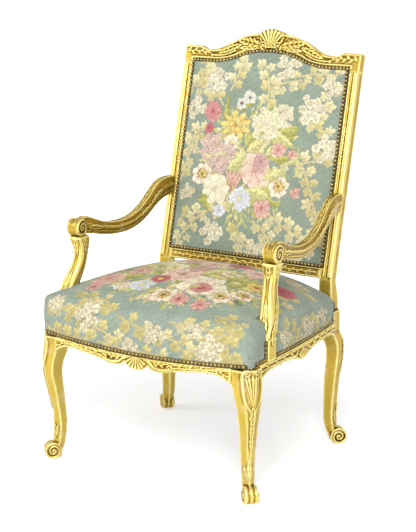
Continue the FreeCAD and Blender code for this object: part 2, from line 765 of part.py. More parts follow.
def side_rail():
    """Side rail with a shaped apron, tenons at both ends and a housing for the arm support."""
    body = new_body("side_seat_rail_right")
    start = SIDE_START
    finish = SIDE_FINISH
    middle = f"(({start} + {finish}) / 2)"

    def band(outer, inner):
        """A bowed strip between two insets from the nail line."""
        return [
            (f"{side_x(start)} - ({inner})", start),
            (f"{side_x(start)} - ({outer})", start),
            (f"{side_x(finish)} - ({outer})", finish, f"{side_x(middle)} - ({outer})", middle),
            (f"{side_x(finish)} - ({inner})", finish),
        ]

    low = f"({S.side_apron_end} - {S.feature_lap})"
    strip = band(f"-{S.carving_proud}", f"{S.carving_thick} - {S.carving_proud}")
    apron = draw(sketch_on(body, "XY_Plane", low), strip)
    grow(body, "Pad", apron, f"{SHOULDER} - {low}")
    lobe = (f"{middle} - {S.side_lobe_half}", f"{middle} + {S.side_lobe_half}")
    bend = f"({S.side_bracket} / 3)"
    bend_high = f"({S.apron_high} * 3 + {S.side_apron_end}) / 4"
    before = f"({start} - {S.cut_over})"
    beyond = f"({finish} + {S.cut_over})"
    under = [
        (before, S.side_apron_end),
        (f"{start} + {S.side_bracket}", S.apron_high, f"{start} + {bend}", bend_high),
        (lobe[0], S.apron_high),
        (lobe[1], S.apron_high, middle, S.side_lobe_low),
        (f"{finish} - {S.side_bracket}", S.apron_high),
        (beyond, S.side_apron_end, f"{finish} - {bend}", bend_high),
        (beyond, f"{low} - {S.cut_over}"),
        (before, f"{low} - {S.cut_over}"),
    ]
    inside = f"{HALF_BACK} - 3 * {S.side_rail_thick}"
    through = f"{HALF_FRONT} - {HALF_BACK} + 6 * {S.side_rail_thick}"
    grow(body, "Pocket", draw(sketch_on(body, "YZ_Plane", inside), under), through, reverse=True)
    bar = draw(sketch_on(body, "XY_Plane", S.rail_under), band(SKIN, S.side_rail_thick))
    grow(body, "Pad", bar, f"{S.rail_top} - {S.rail_under}")
    block(body, "Pad", SIDE_TENON_X, SIDE_TENON_Y, TENON_Z)
    block(body, "Pad", REAR_TENON_X, REAR_TENON_Y, TENON_Z)
    housing_x = (f"{SUPPORT_INNER} - {S.joint_gap}", f"{SUPPORT_INNER} + 2 * {S.support_foot_deep}")
    housing_z = (f"{S.support_foot_low} - {S.joint_gap}", f"{S.rail_top} + {S.cut_over}")
    block(body, "Pocket", housing_x, widen(SUPPORT_Y, S.joint_gap), housing_z)
    return body


def back_rail():
    """Plain back rail between the posts."""
    body = new_body("back_seat_rail")
    end = f"({STILE_INNER} - {S.joint_gap})"
    span_y = (BACK_RAIL_FRONT, f"{BACK_RAIL_FRONT} + {S.back_rail_thick}")
    block(body, "Pad", (f"-{end}", end), span_y, (S.rail_under, S.rail_top))
    block(body, "Pad", BACK_TENON_X, BACK_TENON_Y, TENON_Z)
    block(body, "Pad", across_middle(BACK_TENON_X), BACK_TENON_Y, TENON_Z)
    return body


def panel_outline(inset="0"):
    """Outline of the stuffed back panel: straight sides and a top that rises in an ogee."""
    half = f"({S.back_half} - ({inset}))"
    flat = f"({S.panel_flat} - ({inset}) * 0.5)"
    bend = f"({S.panel_bend} - ({inset}) * 0.3)"
    low = f"({S.back_panel_low} + ({inset}))"
    side = f"({S.back_panel_side} - ({inset}))"
    bend_high = f"({S.panel_bend_high} - ({inset}))"
    top = f"({S.back_panel_top} - ({inset}))"
    mid = f"({flat} + {bend}) / 2"
    mid_high = f"({side} + {bend_high}) / 2 - {S.panel_sag}"
    return [
        (f"-{half}", low),
        (half, low),
        (half, side),
        (flat, side),
        (bend, bend_high, mid, mid_high),
        (f"-{bend}", bend_high, "0", top),
        (f"-{flat}", side, f"-({mid})", mid_high),
        (f"-{half}", side),
    ]


def mirrored(points):
    """A right half of an outline, walked outwards, with its left half walked back in."""
    left = []
    for index in range(len(points) - 1, -1, -1):
        point = points[index]
        following = points[index + 1] if index + 1 < len(points) else ()
        place = (f"-({point[0]})", point[1])
        if len(following) == 4:
            place += (f"-({following[2]})", following[3])
        left.append(place)
    return left


EAR_BEND = f"({S.ear_half} * 2 + {S.dip_half}) / 3"
EAR_BEND_HIGH = f"({S.crest_corner} + {S.dip_high} * 2) / 3"
OGEE_HIGH = f"({S.dip_high} * 3 + {S.crest_bend_high}) / 4"
CREST_EDGE = [
    (S.back_outer, S.crest_corner),
    (S.ear_half, S.crest_corner),
    (S.dip_half, S.dip_high, EAR_BEND, EAR_BEND_HIGH),
    (S.crest_bend, S.crest_bend_high, f"({S.dip_half} + {S.crest_bend}) / 2", OGEE_HIGH),
    (S.crest_shell_half, S.crest_shell_foot, S.crest_rise_half, S.crest_rise_high),
]


def crest_rail():
    """Crest rail: a slab behind the panel's edge, a proud moulded front, and the carved shell's mass."""
    body = new_body("crest_rail", raked=True)
    top_left = mirrored(CREST_EDGE)
    top_left[0] = (*top_left[0][:2], "0", S.crest_top)
    under = panel_outline(S.crest_lap)
    foot = CREST_FOOT
    lower = [
        (f"-{S.back_outer}", foot),
        (under[6][0], foot),
        (f"-{under[4][0]}", under[4][1], under[6][2], under[6][3]),
        (under[4][0], under[4][1], under[5][2], under[5][3]),
        (under[3][0], foot, under[4][2], under[4][3]),
        (S.back_outer, foot),
    ]
    slab = draw(sketch_on(body, "XZ_Plane", S.stile_depth), lower + CREST_EDGE + top_left)
    grow(body, "Pad", slab, f"{S.stile_depth} - {S.rebate_depth}")
    edge = panel_outline(f"-{S.fit_gap}")
    lip = [
        (f"-{S.back_outer}", foot),
        (f"-({S.back_half} + {S.fit_gap})", foot),
        edge[7],
        edge[6][:2],
        (f"-{edge[4][0]}", edge[4][1], edge[6][2], edge[6][3]),
        (edge[4][0], edge[4][1], edge[5][2], edge[5][3]),
        (edge[3][0], edge[3][1], edge[4][2], edge[4][3]),
        edge[2],
        (f"{S.back_half} + {S.fit_gap}", foot),
        (S.back_outer, foot),
    ]
    behind = f"({S.rebate_depth} + {S.feature_lap})"
    front = draw(sketch_on(body, "XZ_Plane", behind), lip + CREST_EDGE + top_left)
    grow(body, "Pad", front, behind)
    waist = f"({S.crest_shell_half} * 0.85)"
    waist_high = f"({S.crest_shell_low} * 2 + {S.crest_shell_foot}) / 3"
    shell = [
        (S.crest_shell_base, S.crest_shell_low),
        (S.crest_shell_half, S.crest_shell_foot, waist, waist_high),
        (f"-{S.crest_shell_half}", S.crest_shell_foot, "0", S.crest_top),
        (f"-{S.crest_shell_base}", S.crest_shell_low, f"-{waist}", waist_high),
    ]
    boss = draw(sketch_on(body, "XZ_Plane", S.feature_lap), shell)
    grow(body, "Pad", boss, f"{S.feature_lap} + {S.crest_shell_proud}")
    gap = S.joint_gap
    span_z = (f"{foot} - {S.feature_lap}", f"{foot} + {S.crest_tenon} + {gap}")
    for span_x in (CREST_TENON_X, across_middle(CREST_TENON_X)):
        block(body, "Pocket", widen(span_x, gap), widen(SLOPE_TENON, gap), span_z)
    return body


def lower_back_rail():
    """Lower back rail between the stiles, rebated for the panel's lower edge."""
    body = new_body("back_lower_rail", raked=True)
    end = f"({STILE_INNER} - {S.joint_gap})"
    span_x = (f"-{end}", end)
    block(body, "Pad", span_x, (S.rebate_depth, S.stile_depth), (S.rail_start, S.lower_rail_high))
    lip = (S.rail_start, f"{S.back_panel_low} - {S.fit_gap}")
    block(body, "Pad", span_x, ("0", f"{S.rebate_depth} + {S.feature_lap}"), lip)
    block(body, "Pad", LOWER_TENON_X, SLOPE_TENON, LOWER_TENON)
    block(body, "Pad", across_middle(LOWER_TENON_X), SLOPE_TENON, LOWER_TENON)
    return body


def arm_section(body, depth, top, under):
    """Upright section of the arm: flat sides that draw in to a narrower top and underside."""
    half = f"({S.arm_width} / 2)"
    middle = arm_x(depth)
    ease = f"({S.arm_width} / 5)"
    sides = [
        (f"{middle} - {half} + {ease}", under),
        (f"{middle} + {half} - {ease}", under),
        (f"{middle} + {half}", f"({top} * 3 + {under} * 2) / 5"),
        (f"{middle} + {half} - {ease}", top),
        (f"{middle} - {half} + {ease}", top),
        (f"{middle} - {half}", f"({top} * 3 + {under} * 2) / 5"),
    ]
    return draw(sketch_on(body, "XZ_Plane", depth), sides)


SUPPORT_TENON_X = around(S.support_top_x, S.support_tenon_wide)
SUPPORT_TENON_Y = around(f"-{S.support_top_y}", S.support_tenon_wide)
SUPPORT_TENON_Z = (f"{S.support_top} - {S.feature_lap}", f"{S.support_top} + {S.support_tenon}")


def arm():
    """Arm: a front scroll, a dipped forearm and a sweep up to the stile, tenoned into it."""
    body = new_body("arm_right")
    beyond = f"({ARM_END} + {S.stile_depth})"
    stations = [
        (f"-{S.arm_tip}", S.arm_tip_top, S.arm_tip_under),
        (f"-{S.arm_fore}", S.arm_fore_top, S.arm_fore_under),
        (f"-{S.arm_waist}", S.arm_waist_top, S.arm_waist_under),
        (S.arm_turn, S.arm_turn_top, S.arm_turn_under),
        (S.arm_rise, S.arm_rise_top, S.arm_rise_under),
        (S.arm_crown, S.arm_crown_top, S.arm_crown_under),
        (ARM_END, S.arm_back_top, S.arm_back_under),
        (beyond, S.arm_back_top, S.arm_back_under),
    ]
    loft(body, "Additive", [arm_section(body, *station) for station in stations])
    scroll = sketch_on(body, "YZ_Plane", S.arm_front_x)
    draw_circle(scroll, f"-{S.arm_front_y}", S.arm_scroll_high, S.arm_scroll_radius)
    grow(body, "Pad", scroll, S.arm_scroll_width, both=True)
    beside = f"({S.back_outer} - 3 * {S.stile_width})"
    high = f"({S.arm_back_top} - {S.back_low}) * 1.4"
    off = slope_box("0", high, f"-{S.joint_gap}", f"4 * {S.stile_depth}")
    grow(body, "Pocket", draw(sketch_on(body, "YZ_Plane", beside), off), f"6 * {S.stile_width}", reverse=True)
    block(body, "Pad", ARM_TENON_X, ARM_TENON_Y, ARM_TENON_Z)
    seat_x = around(S.support_top_x, f"4 * {S.arm_width}")
    seat_y = around(f"-{S.support_top_y}", f"4 * {S.arm_width}")
    seat_z = (f"{S.support_top} - 2 * {S.arm_scroll_radius}", f"{S.support_top} + {S.joint_gap}")
    block(body, "Pocket", seat_x, seat_y, seat_z)
    gap = S.joint_gap
    mortise = [widen(span, gap) for span in (SUPPORT_TENON_X, SUPPORT_TENON_Y, SUPPORT_TENON_Z)]
    block(body, "Pocket", *mortise)
    return body


def support_section(body, height, across, set_out, wide, deeper):
    """Level section of the arm support: a rectangle with cut corners, a little deeper than wide."""
    cut = f"(0.17 * ({wide}))"
    left, right = around(across, wide)
    near, far = around(f"-({set_out})", f"{wide} + {deeper}")
    corners = [
        (f"{left} + {cut}", near),
        (f"{right} - {cut}", near),
        (right, f"{near} + {cut}"),
        (right, f"{far} - {cut}"),
        (f"{right} - {cut}", far),
        (f"{left} + {cut}", far),
        (left, f"{far} - {cut}"),
        (left, f"{near} + {cut}"),
    ]
    return draw(sketch_on(body, "XY_Plane", height), corners)


def arm_support():
    """Arm support: a foot housed in the side rail and an S-shaped stem up to the arm."""
    body = new_body("arm_support_right")
    middle = f"({SUPPORT_INNER} + {S.support_foot_deep} / 2)"
    foot_x = (SUPPORT_INNER, f"{SUPPORT_INNER} + {S.support_foot_deep}")
    block(body, "Pad", foot_x, SUPPORT_Y, (S.support_foot_low, f"{S.support_foot_top} + {S.feature_lap}"))
    base_x = f"{middle} + {S.support_base_out}"
    base_y = f"({S.support_y} - {S.support_base_set})"
    base_wide = f"({S.support_foot_deep} + {S.support_base_swell})"
    base_deeper = f"({S.support_foot_wide} - {base_wide})"
    foot_deeper = f"({S.support_foot_wide} - {S.support_foot_deep})"
    stations = [
        (S.support_foot_top, middle, S.support_y, S.support_foot_deep, foot_deeper),
        (S.support_base_high, base_x, base_y, base_wide, base_deeper),
        (S.support_low, S.support_low_x, S.support_low_y, S.support_low_wide, S.support_deeper),
        (S.support_neck, S.support_neck_x, S.support_neck_y, S.support_neck_wide, S.support_deeper),
        (S.support_mid, S.support_mid_x, S.support_mid_y, S.support_mid_wide, "0"),
        (S.support_top, S.support_top_x, S.support_top_y, S.support_top_wide, S.support_top_deeper),
    ]
    loft(body, "Additive", [support_section(body, *station) for station in stations])
    block(body, "Pad", SUPPORT_TENON_X, SUPPORT_TENON_Y, SUPPORT_TENON_Z)
    return body


def corner_block(label, corner_x, corner_y, rail_y, toward):
    """Glue block in a corner of the seat frame, notched round the leg or post."""
    body = new_body(label)
    gap = S.fit_gap
    beside = f"({corner_y} + ({toward}) * {gap})"
    end = f"({corner_y} + ({toward}) * {S.corner_block})"
    wall = f"({rail_y} + ({toward}) * {gap})"
    points = [
        (f"{corner_x} - {S.corner_block}", wall),
        (f"{corner_x} - {gap}", wall),
        (f"{corner_x} - {gap}", beside),
        (f"{side_inner(beside)} - {gap}", beside),
        (f"{side_inner(end)} - {gap}", end),
    ]
    sketch = draw(sketch_on(body, "XY_Plane", S.corner_block_low), points)
    grow(body, "Pad", sketch, f"{S.corner_block_high} - {S.corner_block_low}")
    return body


def seat_outline(inset):
    """Plan of the upholstered seat at an inset from the nail line."""
    half = f"({HALF_FRONT} - ({inset}))"
    front = f"(-{S.front_line} + ({inset}))"
    rear = f"({S.seat_rear} - ({inset}))"
    radius = f"({S.seat_corner_radius} - ({inset}))"
    turn = f"({front} + {radius})"
    start = f"({half} - {radius})"
    middle = f"(({turn} + {rear}) / 2)"
    near = f"{radius} * (1 - sqrt(0.5))"
    right = [
        (start, f"{front_y(start)} + ({inset})"),
        (f"{side_x(turn)} - ({inset})", turn, f"{half} - {near}", f"{front} + {near}"),
        (f"{side_x(rear)} - ({inset})", rear, f"{side_x(middle)} - ({inset})", middle),
    ]
    points = right + mirrored(right)
    points[0] = (*points[0][:2], "0", f"{front_y('0')} + ({inset})")
    return points


def seat_form(label, inset, bottom, kept):
    """The seat's stuffed form: upright walls, rolled edges and two crowns that cross."""
    body = new_body(label, kept=kept)
    wall = f"({S.seat_wall} - ({inset}))"
    edge = f"({S.seat_edge} - ({inset}))"
    crown = f"({S.seat_crown} - ({inset}))"
    high = f"({S.seat_crown} + {S.seat_roll})"
    bend = f"{S.seat_roll} * (1 - sqrt(0.5))"
    bend_high = f"{wall} + ({edge} - {wall}) * sqrt(0.5)"
    plan = draw(sketch_on(body, "XY_Plane", bottom), seat_outline(inset))
    grow(body, "Pad", plan, f"{high} - ({bottom})")
    half = f"({HALF_FRONT} - ({inset}))"
    beyond = f"({half} + {S.leg_block})"
    across = [
        (f"-{beyond}", wall),
        (f"-{half}", wall),
        (f"-({half} - {S.seat_roll})", edge, f"-({half} - {bend})", bend_high),
        (f"{half} - {S.seat_roll}", edge, "0", crown),
        (half, wall, f"{half} - {bend}", bend_high),
        (beyond, wall),
        (beyond, f"2 * {high}"),
        (f"-{beyond}", f"2 * {high}"),
    ]
    length = f"2 * {S.seat_depth}"
    before = f"-{S.seat_depth}"
    grow(body, "Pocket", draw(sketch_on(body, "XZ_Plane", before), across), length)
    front = f"({front_y('0')} + ({inset}))"
    rear = f"({S.back_front} - {S.seat_tuck} - ({inset}))"
    along = [
        (f"{front} - {S.leg_block}", wall),
        (front, wall),
        (f"{front} + {S.seat_roll}", edge, f"{front} + {bend}", bend_high),
        (rear, f"{S.seat_rear_high} - ({inset})", f"-{S.seat_peak_y}", crown),
        (rear, f"{S.seat_tuck_high} - ({inset})"),
        (f"2 * {S.seat_rear}", f"{S.seat_tuck_high} - ({inset})"),
        (f"2 * {S.seat_rear}", f"2 * {high}"),
        (f"{front} - {S.leg_block}", f"2 * {high}"),
    ]
    beside = f"-{S.seat_front_width}"
    through = f"2 * {S.seat_front_width}"
    grow(body, "Pocket", draw(sketch_on(body, "YZ_Plane", beside), along), through, reverse=True)
    return body


def seat_notches(body, room, low):
    """Cut the seat's soft layers round the posts, the back rail and the arm supports."""
    far = f"({SEAT_BACK} + 3 * {S.post_block_depth})"
    near = f"(min({SEAT_BACK}; {S.back_front}) - ({room}))"
    tall = f"({S.seat_crown} + {S.seat_roll})"
    deep = f"({low} - {S.leg_block})"
    wide = f"({HALF_FRONT} + {S.leg_block})"
    block(body, "Pocket", (f"-{wide}", wide), (near, far), (deep, f"{S.rail_top} + ({room})"))
    post = (f"{STILE_INNER} - ({room})", wide)
    slot = (f"{SUPPORT_INNER} - {S.support_slot} - ({room})", wide)
    lean = (f"{S.support_low_x} - {S.support_low_wide} / 2 - 2 * ({room})", wide)
    foot_y = widen(SUPPORT_Y, f"{S.support_slot} + ({room})")
    half_deep = f"({S.support_low_wide} / 2 + {S.support_deeper})"
    lean_y = (foot_y[0], f"-{S.support_low_y} + {half_deep} + {S.support_slot} + ({room})")
    for span_x, span_y, span_z in (
        (post, (near, far), (deep, tall)),
        (slot, foot_y, (deep, tall)),
        (lean, lean_y, (S.support_foot_top, tall)),
    ):
        block(body, "Pocket", span_x, span_y, span_z)
        block(body, "Pocket", across_middle(span_x), span_y, span_z)


def seat_cover():
    """Seat cover: one skin over the stuffing, down to the nail line, which dips at the front."""
    low = f"({COVER_EDGE} - {S.nail_dip})"
    body = seat_form("seat_cover_form", "0", low, kept=False)
    beyond = f"({HALF_FRONT} + {S.leg_block})"
    dip = [
        (f"-{beyond}", f"{low} - {S.cover_lap}"),
        (beyond, f"{low} - {S.cover_lap}"),
        (beyond, COVER_EDGE),
        (HALF_FRONT, COVER_EDGE),
        (f"-{HALF_FRONT}", COVER_EDGE, "0", low),
        (f"-{beyond}", COVER_EDGE),
    ]
    edge_cut = draw(sketch_on(body, "XZ_Plane", f"-{S.seat_depth}"), dip)
    grow(body, "Pocket", edge_cut, f"2 * {S.seat_depth}")
    behind = (LEG_INNER_Y, f"2 * {S.seat_depth}")
    block(body, "Pocket", (f"-{beyond}", beyond), behind, (f"{low} - {S.cover_lap}", COVER_EDGE))
    seat_notches(body, S.fit_gap, low)
    room = seat_form("seat_cover_room", S.cover_thick, f"{low} - {S.cover_lap}", kept=False)
    return hollow("seat_cover", body, room)


def hessian_form(label, inset, low):
    """The sheet over the springs: it lies on the rails and slopes up to a level top."""
    body = new_body(label, kept=False)
    front = f"(-{S.front_line} + {S.hessian_inset} + ({inset}))"
    rear = f"({BACK_RAIL_FRONT} + {S.hessian_inset} / 2 - ({inset}))"
    taper = f"(({HALF_FRONT} - {HALF_BACK}) / {S.seat_depth})"
    right = []
    for depth in (front, rear):
        half = f"({HALF_FRONT} - {taper} * ({depth} + {S.front_line}))"
        right.append((f"{half} - {S.hessian_inset} - ({inset})", depth))
    sketch = draw(sketch_on(body, "XY_Plane", low), right + mirrored(right))
    high = f"({S.hessian_high} - ({inset}))"
    pad = grow(body, "Pad", sketch, f"{high} - ({low})")
    doc.recompute()
    slopes = body.newObject("PartDesign::Chamfer", f"{label}_slopes")
    top = pad.Shape.BoundBox.ZMax
    near_top = top - value(S.hessian_thick) / 2
    edges = enumerate(pad.Shape.Edges, 1)
    rim = [f"Edge{index}" for index, edge in edges if edge.BoundBox.ZMin > near_top]
    slopes.Base = (pad, rim)
    slopes.setExpression("Size", S.hessian_slope)
    return body


def seat_hessian():
    """Hessian sheet over the springs, tacked to the rails' tops."""
    low = f"({S.rail_top} + {S.fit_gap} / 2)"
    sheet_form = hessian_form("hessian_outer", "0", low)
    seat_notches(sheet_form, f"2 * {S.fit_gap}", S.rail_top)
    room = hessian_form("hessian_inner", S.hessian_thick, f"{low} - {S.hessian_thick}")
    return hollow("seat_hessian", sheet_form, room)


def seat_stuffing():
    """Seat stuffing between the hessian and the cover."""
    low = f"({S.rail_top} + {S.fit_gap})"
    body = seat_form("seat_stuffing_form", SKIN, low, kept=False)
    seat_notches(body, f"3 * {S.fit_gap}", low)
    room = hessian_form("hessian_room", f"-2 * {S.fit_gap}", f"{low} - {S.hessian_thick}")
    return hollow("seat_stuffing", body, room)


def seat_webbing():
    """Two layers of webbing under the rails: front to back, and side to side below it."""
    lengthwise = new_body("seat_webbing_lengthwise")
    front = f"({FRONT_INNER} - {S.web_lap})"
    rear = f"({BACK_RAIL_FRONT} + {S.web_lap})"
    span_z = (f"{S.rail_under} - {S.web_thick}", S.rail_under)
    crosswise = new_body("seat_webbing_crosswise")
    below = (f"{S.rail_under} - 2 * {S.web_thick}", span_z[0])
    for index in range(SIZES["web_count"]):
        share = f"({index} - ({S.web_count} - 1) / 2)"
        middle_x = f"({share} * {S.web_step_x})"
        block(lengthwise, "Pad", around(middle_x, S.web_width), (front, rear), span_z)
        middle_y = f"({share} * {S.web_step_y} - {S.web_middle_y})"
        half = f"({side_inner(middle_y)} + {S.web_lap})"
        block(crosswise, "Pad", (f"-{half}", half), around(middle_y, S.web_width), below)


def bottom_cloth():
    """Black cloth that closes the underside, cut round legs and posts."""
    body = new_body("bottom_cloth")
    room = f"(2 * {S.fit_gap})"
    front = f"({FRONT_INNER} - {S.web_lap})"
    corner = f"({LEG_INNER_X} - {room})"
    leg = f"({LEG_INNER_Y} + {room})"
    post = f"({SEAT_BACK} - {room})"
    side = f"{S.side_rail_thick} - {S.web_lap}"
    rear = f"({BACK_RAIL_FRONT} + {S.web_lap})"
    inside = f"({STILE_INNER} - {room})"
    right = [
        (corner, front),
        (corner, leg),
        (f"{side_x(leg)} - ({side})", leg),
        (f"{side_x(post)} - ({side})", post),
        (inside, post),
        (inside, rear),
    ]
    low = f"({S.rail_under} - 2 * {S.web_thick} - {S.bottom_cloth_thick})"
    sketch = draw(sketch_on(body, "XY_Plane", low), right + mirrored(right))
    grow(body, "Pad", sketch, S.bottom_cloth_thick)
    return body


def spring_spot(turn, low, high):
    """A point of the double-cone coil, wide at both ends and narrow at the waist, and its way out."""
    waist = value(S.spring_waist)
    share = turn / value(S.spring_turns)
    radius = waist + (value(S.spring_radius) - waist) * (2 * share - 1) ** 2
    angle = 2 * math.pi * turn
    out = V(math.cos(angle), math.sin(angle), 0)
    return out * radius + V(0, 0, low + (high - low) * share), out


def springs():
    """Five coil springs, one amid four, that stand on the webbing and lift the hessian."""
    wire = value(S.spring_wire)
    turns = int(value(S.spring_turns))
    per_turn = int(value(S.spring_steps))
    rest = wire / 2 + value(S.joint_gap)
    low = value(S.rail_under) + rest
    high = value(S.hessian_high) - value(S.hessian_thick) - rest
    spots = [spring_spot(step / per_turn, low, high) for step in range(turns * per_turn + 1)]
    sections = []
    for place, out in spots:
        ways = (out, V(0, 0, 1), -out, V(0, 0, -1))
        corners = [place + way * (wire / 2) for way in ways]
        sections.append(Part.makePolygon(corners + corners[:1]))
    coil = Part.makeLoft(sections, True, True)
    places = ((-1, -1), (1, -1), (0, 0), (-1, 1), (1, 1))
    for number, (column, row) in enumerate(places, 1):
        label = f"seat_spring_{number}"
        spring = doc.addObject("Part::Feature", label)
        spring.Label = label
        spring.Shape = coil
        depth = row * value(S.spring_step_y) - value(S.web_middle_y)
        spring.Placement.Base = V(column * value(S.web_step_x), depth, 0)
        PIECES.append(spring)
    closest = high - low
    for index, (place, out) in enumerate(spots):
        for other, way in spots[index + per_turn // 2:]:
            closest = min(closest, place.distanceToPoint(other))
    print(f"spring coils: least gap {closest - wire:.2f} mm")


def back_webbing():
    """Webbing across the open back: upright straps in the rebates and level straps over them."""
    upright = new_body("back_webbing_upright", raked=True)
    level = new_body("back_webbing_level", raked=True)
    layer = (f"{S.rebate_depth} - {S.back_web_thick}", S.rebate_depth)
    over = (f"{S.rebate_depth} - 2 * {S.back_web_thick}", layer[0])
    low = f"({S.lower_rail_high} - {S.back_web_lap} - {S.feature_lap})"
    high = f"({CREST_FOOT} + {S.back_web_lap})"
    half = f"({STILE_INNER} + {S.back_web_lap})"
    for step in (-1, 0, 1):
        middle = f"({step} * {S.back_web_step_x})"
        block(upright, "Pad", around(middle, S.back_web_width), layer, (low, high))
    for step in range(SIZES["back_web_levels"]):
        middle = f"({S.back_web_first} + {step} * {S.back_web_step_z})"
        block(level, "Pad", (f"-{half}", half), over, around(middle, S.back_web_width))


def back_form(label, inset, base, kept=False):
    """The back's stuffed form: a flat edge for the nails, and two crowns that cross within it."""
    body = new_body(label, raked=True, kept=kept)
    land = f"(-{S.nail_land_rise} + ({inset}))"
    crown = f"(-{S.back_crown} + ({inset}))"
    edge = f"(({inset}) + {S.nail_land})"
    rim = draw(sketch_on(body, "XZ_Plane", base), panel_outline(inset))
    grow(body, "Pad", rim, f"({base}) - {land}")
    field = draw(sketch_on(body, "XZ_Plane", land), panel_outline(edge))
    grow(body, "Pad", field, f"{land} - {crown}")
    half = f"({S.back_half} - {edge})"
    low = f"({S.back_panel_low} + {edge})"
    top = f"({S.back_panel_top} - {edge})"
    before = f"({crown} - {S.back_crown})"
    across = [
        (f"-{half} - {S.nail_land}", land),
        (f"-{half}", land),
        (half, land, "0", crown),
        (f"{half} + {S.nail_land}", land),
        (f"{half} + {S.nail_land}", before),
        (f"-{half} - {S.nail_land}", before),
    ]
    sketch = draw(sketch_on(body, "XY_Plane", "0"), across)
    grow(body, "Pocket", sketch, f"2 * {S.back_panel_top}", reverse=True)
    along = [
        (land, f"{low} - {S.nail_land}"),
        (land, low),
        (land, top, crown, f"({low} + {top}) / 2"),
        (land, f"{top} + {S.nail_land}"),
        (before, f"{top} + {S.nail_land}"),
        (before, f"{low} - {S.nail_land}"),
    ]
    sketch = draw(sketch_on(body, "YZ_Plane", f"-2 * {S.back_half}"), along)
    grow(body, "Pocket", sketch, f"4 * {S.back_half}", reverse=True)
    return body


def back_layers():
    """Hessian, stuffing and cover of the back, from the webbing forwards."""
    web_front = f"({S.rebate_depth} - 2 * {S.back_web_thick})"
    hessian = new_body("back_hessian", raked=True)
    rim = panel_outline(f"{SKIN} + {S.fit_gap}")
    grow(hessian, "Pad", draw(sketch_on(hessian, "XZ_Plane", web_front), rim), S.hessian_thick)
    back_form("back_stuffing", SKIN, f"({web_front} - {S.hessian_thick})", kept=True)
    outer = back_form("back_cover_form", "0", S.rebate_depth)
    inner = back_form("back_cover_room", S.cover_thick, f"2 * {S.rebate_depth}")
    hollow("back_cover", outer, inner)


def outside_back():
    """Cloth over the outside of the back."""
    body = new_body("outside_back_cloth", raked=True)
    behind = f"({S.stile_depth} + {S.outer_cloth_thick})"
    half = f"({S.back_outer} - {S.outer_cloth_inset})"
    high = f"({S.crest_corner} - 2 * {S.outer_cloth_inset})"
    points = rectangle(f"-{half}", half, f"{S.rail_start} + {S.outer_cloth_inset} / 2", high)
    sketch = draw(sketch_on(body, "XZ_Plane", behind), points)
    grow(body, "Pad", sketch, S.outer_cloth_thick)
    return body


def nail(foot, out):
    """One nail head: a low many-sided dome that stands on a spot and points out."""
    side = (V(0, 0, 1) if abs(out.z) < 0.9 else V(1, 0, 0)).cross(out).normalize()
    up = out.cross(side)
    radius = value(S.nail_radius)
    sides = SIZES["nail_sides"]
    rim = []
    for corner in range(sides):
        angle = corner * 2 * math.pi / sides
        rim.append(foot + side * (radius * math.cos(angle)) + up * (radius * math.sin(angle)))
    peak = foot + out * value(S.nail_rise)
    faces = [Part.Face(Part.makePolygon(rim + rim[:1]))]
    for index in range(sides):
        faces.append(Part.Face(Part.makePolygon([rim[index - 1], rim[index], peak, rim[index - 1]])))
    return Part.makeSolid(Part.makeShell(faces))


def nail_row(spots):
    """Nails at an even pitch along a line of spots, each a place and the way that it faces."""
    pitch = value(S.nail_pitch)
    reach = [0.0]
    for (place, facing), (following, other) in zip(spots, spots[1:]):
        reach.append(reach[-1] + place.distanceToPoint(following))
    count = max(1, round(reach[-1] / pitch))
    nails = []
    index = 0
    for number in range(count + 1):
        target = reach[-1] * number / count
        while index < len(reach) - 2 and reach[index + 1] < target:
            index += 1
        share = (target - reach[index]) / (reach[index + 1] - reach[index])
        place = spots[index][0] + (spots[index + 1][0] - spots[index][0]) * share
        out = (spots[index][1] * (1 - share) + spots[index + 1][1] * share).normalize()
        nails.append(nail(place + out * value(S.nail_gap), out))
    return nails


def nail_group(label, nails):
    """A group of nails in one node."""
    group = doc.addObject("Part::Feature", label)
    group.Label = label
    group.Shape = Part.makeCompound(nails)
    PIECES.append(group)


ROW_STEPS = 24


def side_run(first, last, level):
    """Depths and heights along a level stretch of the seat's side."""
    return [(first + (last - first) * step / ROW_STEPS, level) for step in range(ROW_STEPS + 1)]


def side_spot(side, depth, level):
    """A place on the seat's bowed side and the way that the side faces there."""
    ahead = value(side_x(f"{depth + 1}")) - value(side_x(f"{depth - 1}"))
    out = V(side, -ahead / 2, 0).normalize()
    return V(side * value(side_x(f"{depth}")), depth, level), out


def seat_nails():
    """Nails along the seat's lower edge, and up the cover's two cut edges at each arm support."""
    half = value(HALF_FRONT)
    line = value(S.front_line)
    bow = value(S.front_bow)
    radius = value(S.seat_corner_radius)
    high = value(S.nail_height)
    dip = value(S.nail_dip)
    span = half - radius
    front = []
    for step in range(-ROW_STEPS, ROW_STEPS + 1):
        across = span * step / ROW_STEPS
        depth = -line - bow * (1 - (across / half) ** 2)
        slope = 2 * bow * across / half ** 2
        place = V(across, depth, high - dip * (1 - (across / half) ** 2))
        front.append((place, V(slope, -1, 0).normalize()))
    nail_group("seat_nails_front", nail_row(front))
    room = value(S.nail_radius) + value(S.support_slot) + 2 * value(S.fit_gap)
    before = value(SUPPORT_Y[0]) - room
    behind = value(SUPPORT_Y[1]) + room
    top = value(S.support_foot_top) - value(S.nail_radius)
    fore = side_run(value(S.nail_corner) - line, before, high) + [(before, top)]
    rear = [(behind, top)] + side_run(behind, value(SEAT_BACK) - room, high)
    for side, label in ((1, "seat_nails_right"), (-1, "seat_nails_left")):
        nails = []
        for run in (fore, rear):
            nails += nail_row([side_spot(side, depth, level) for depth, level in run])
        nail_group(label, nails)


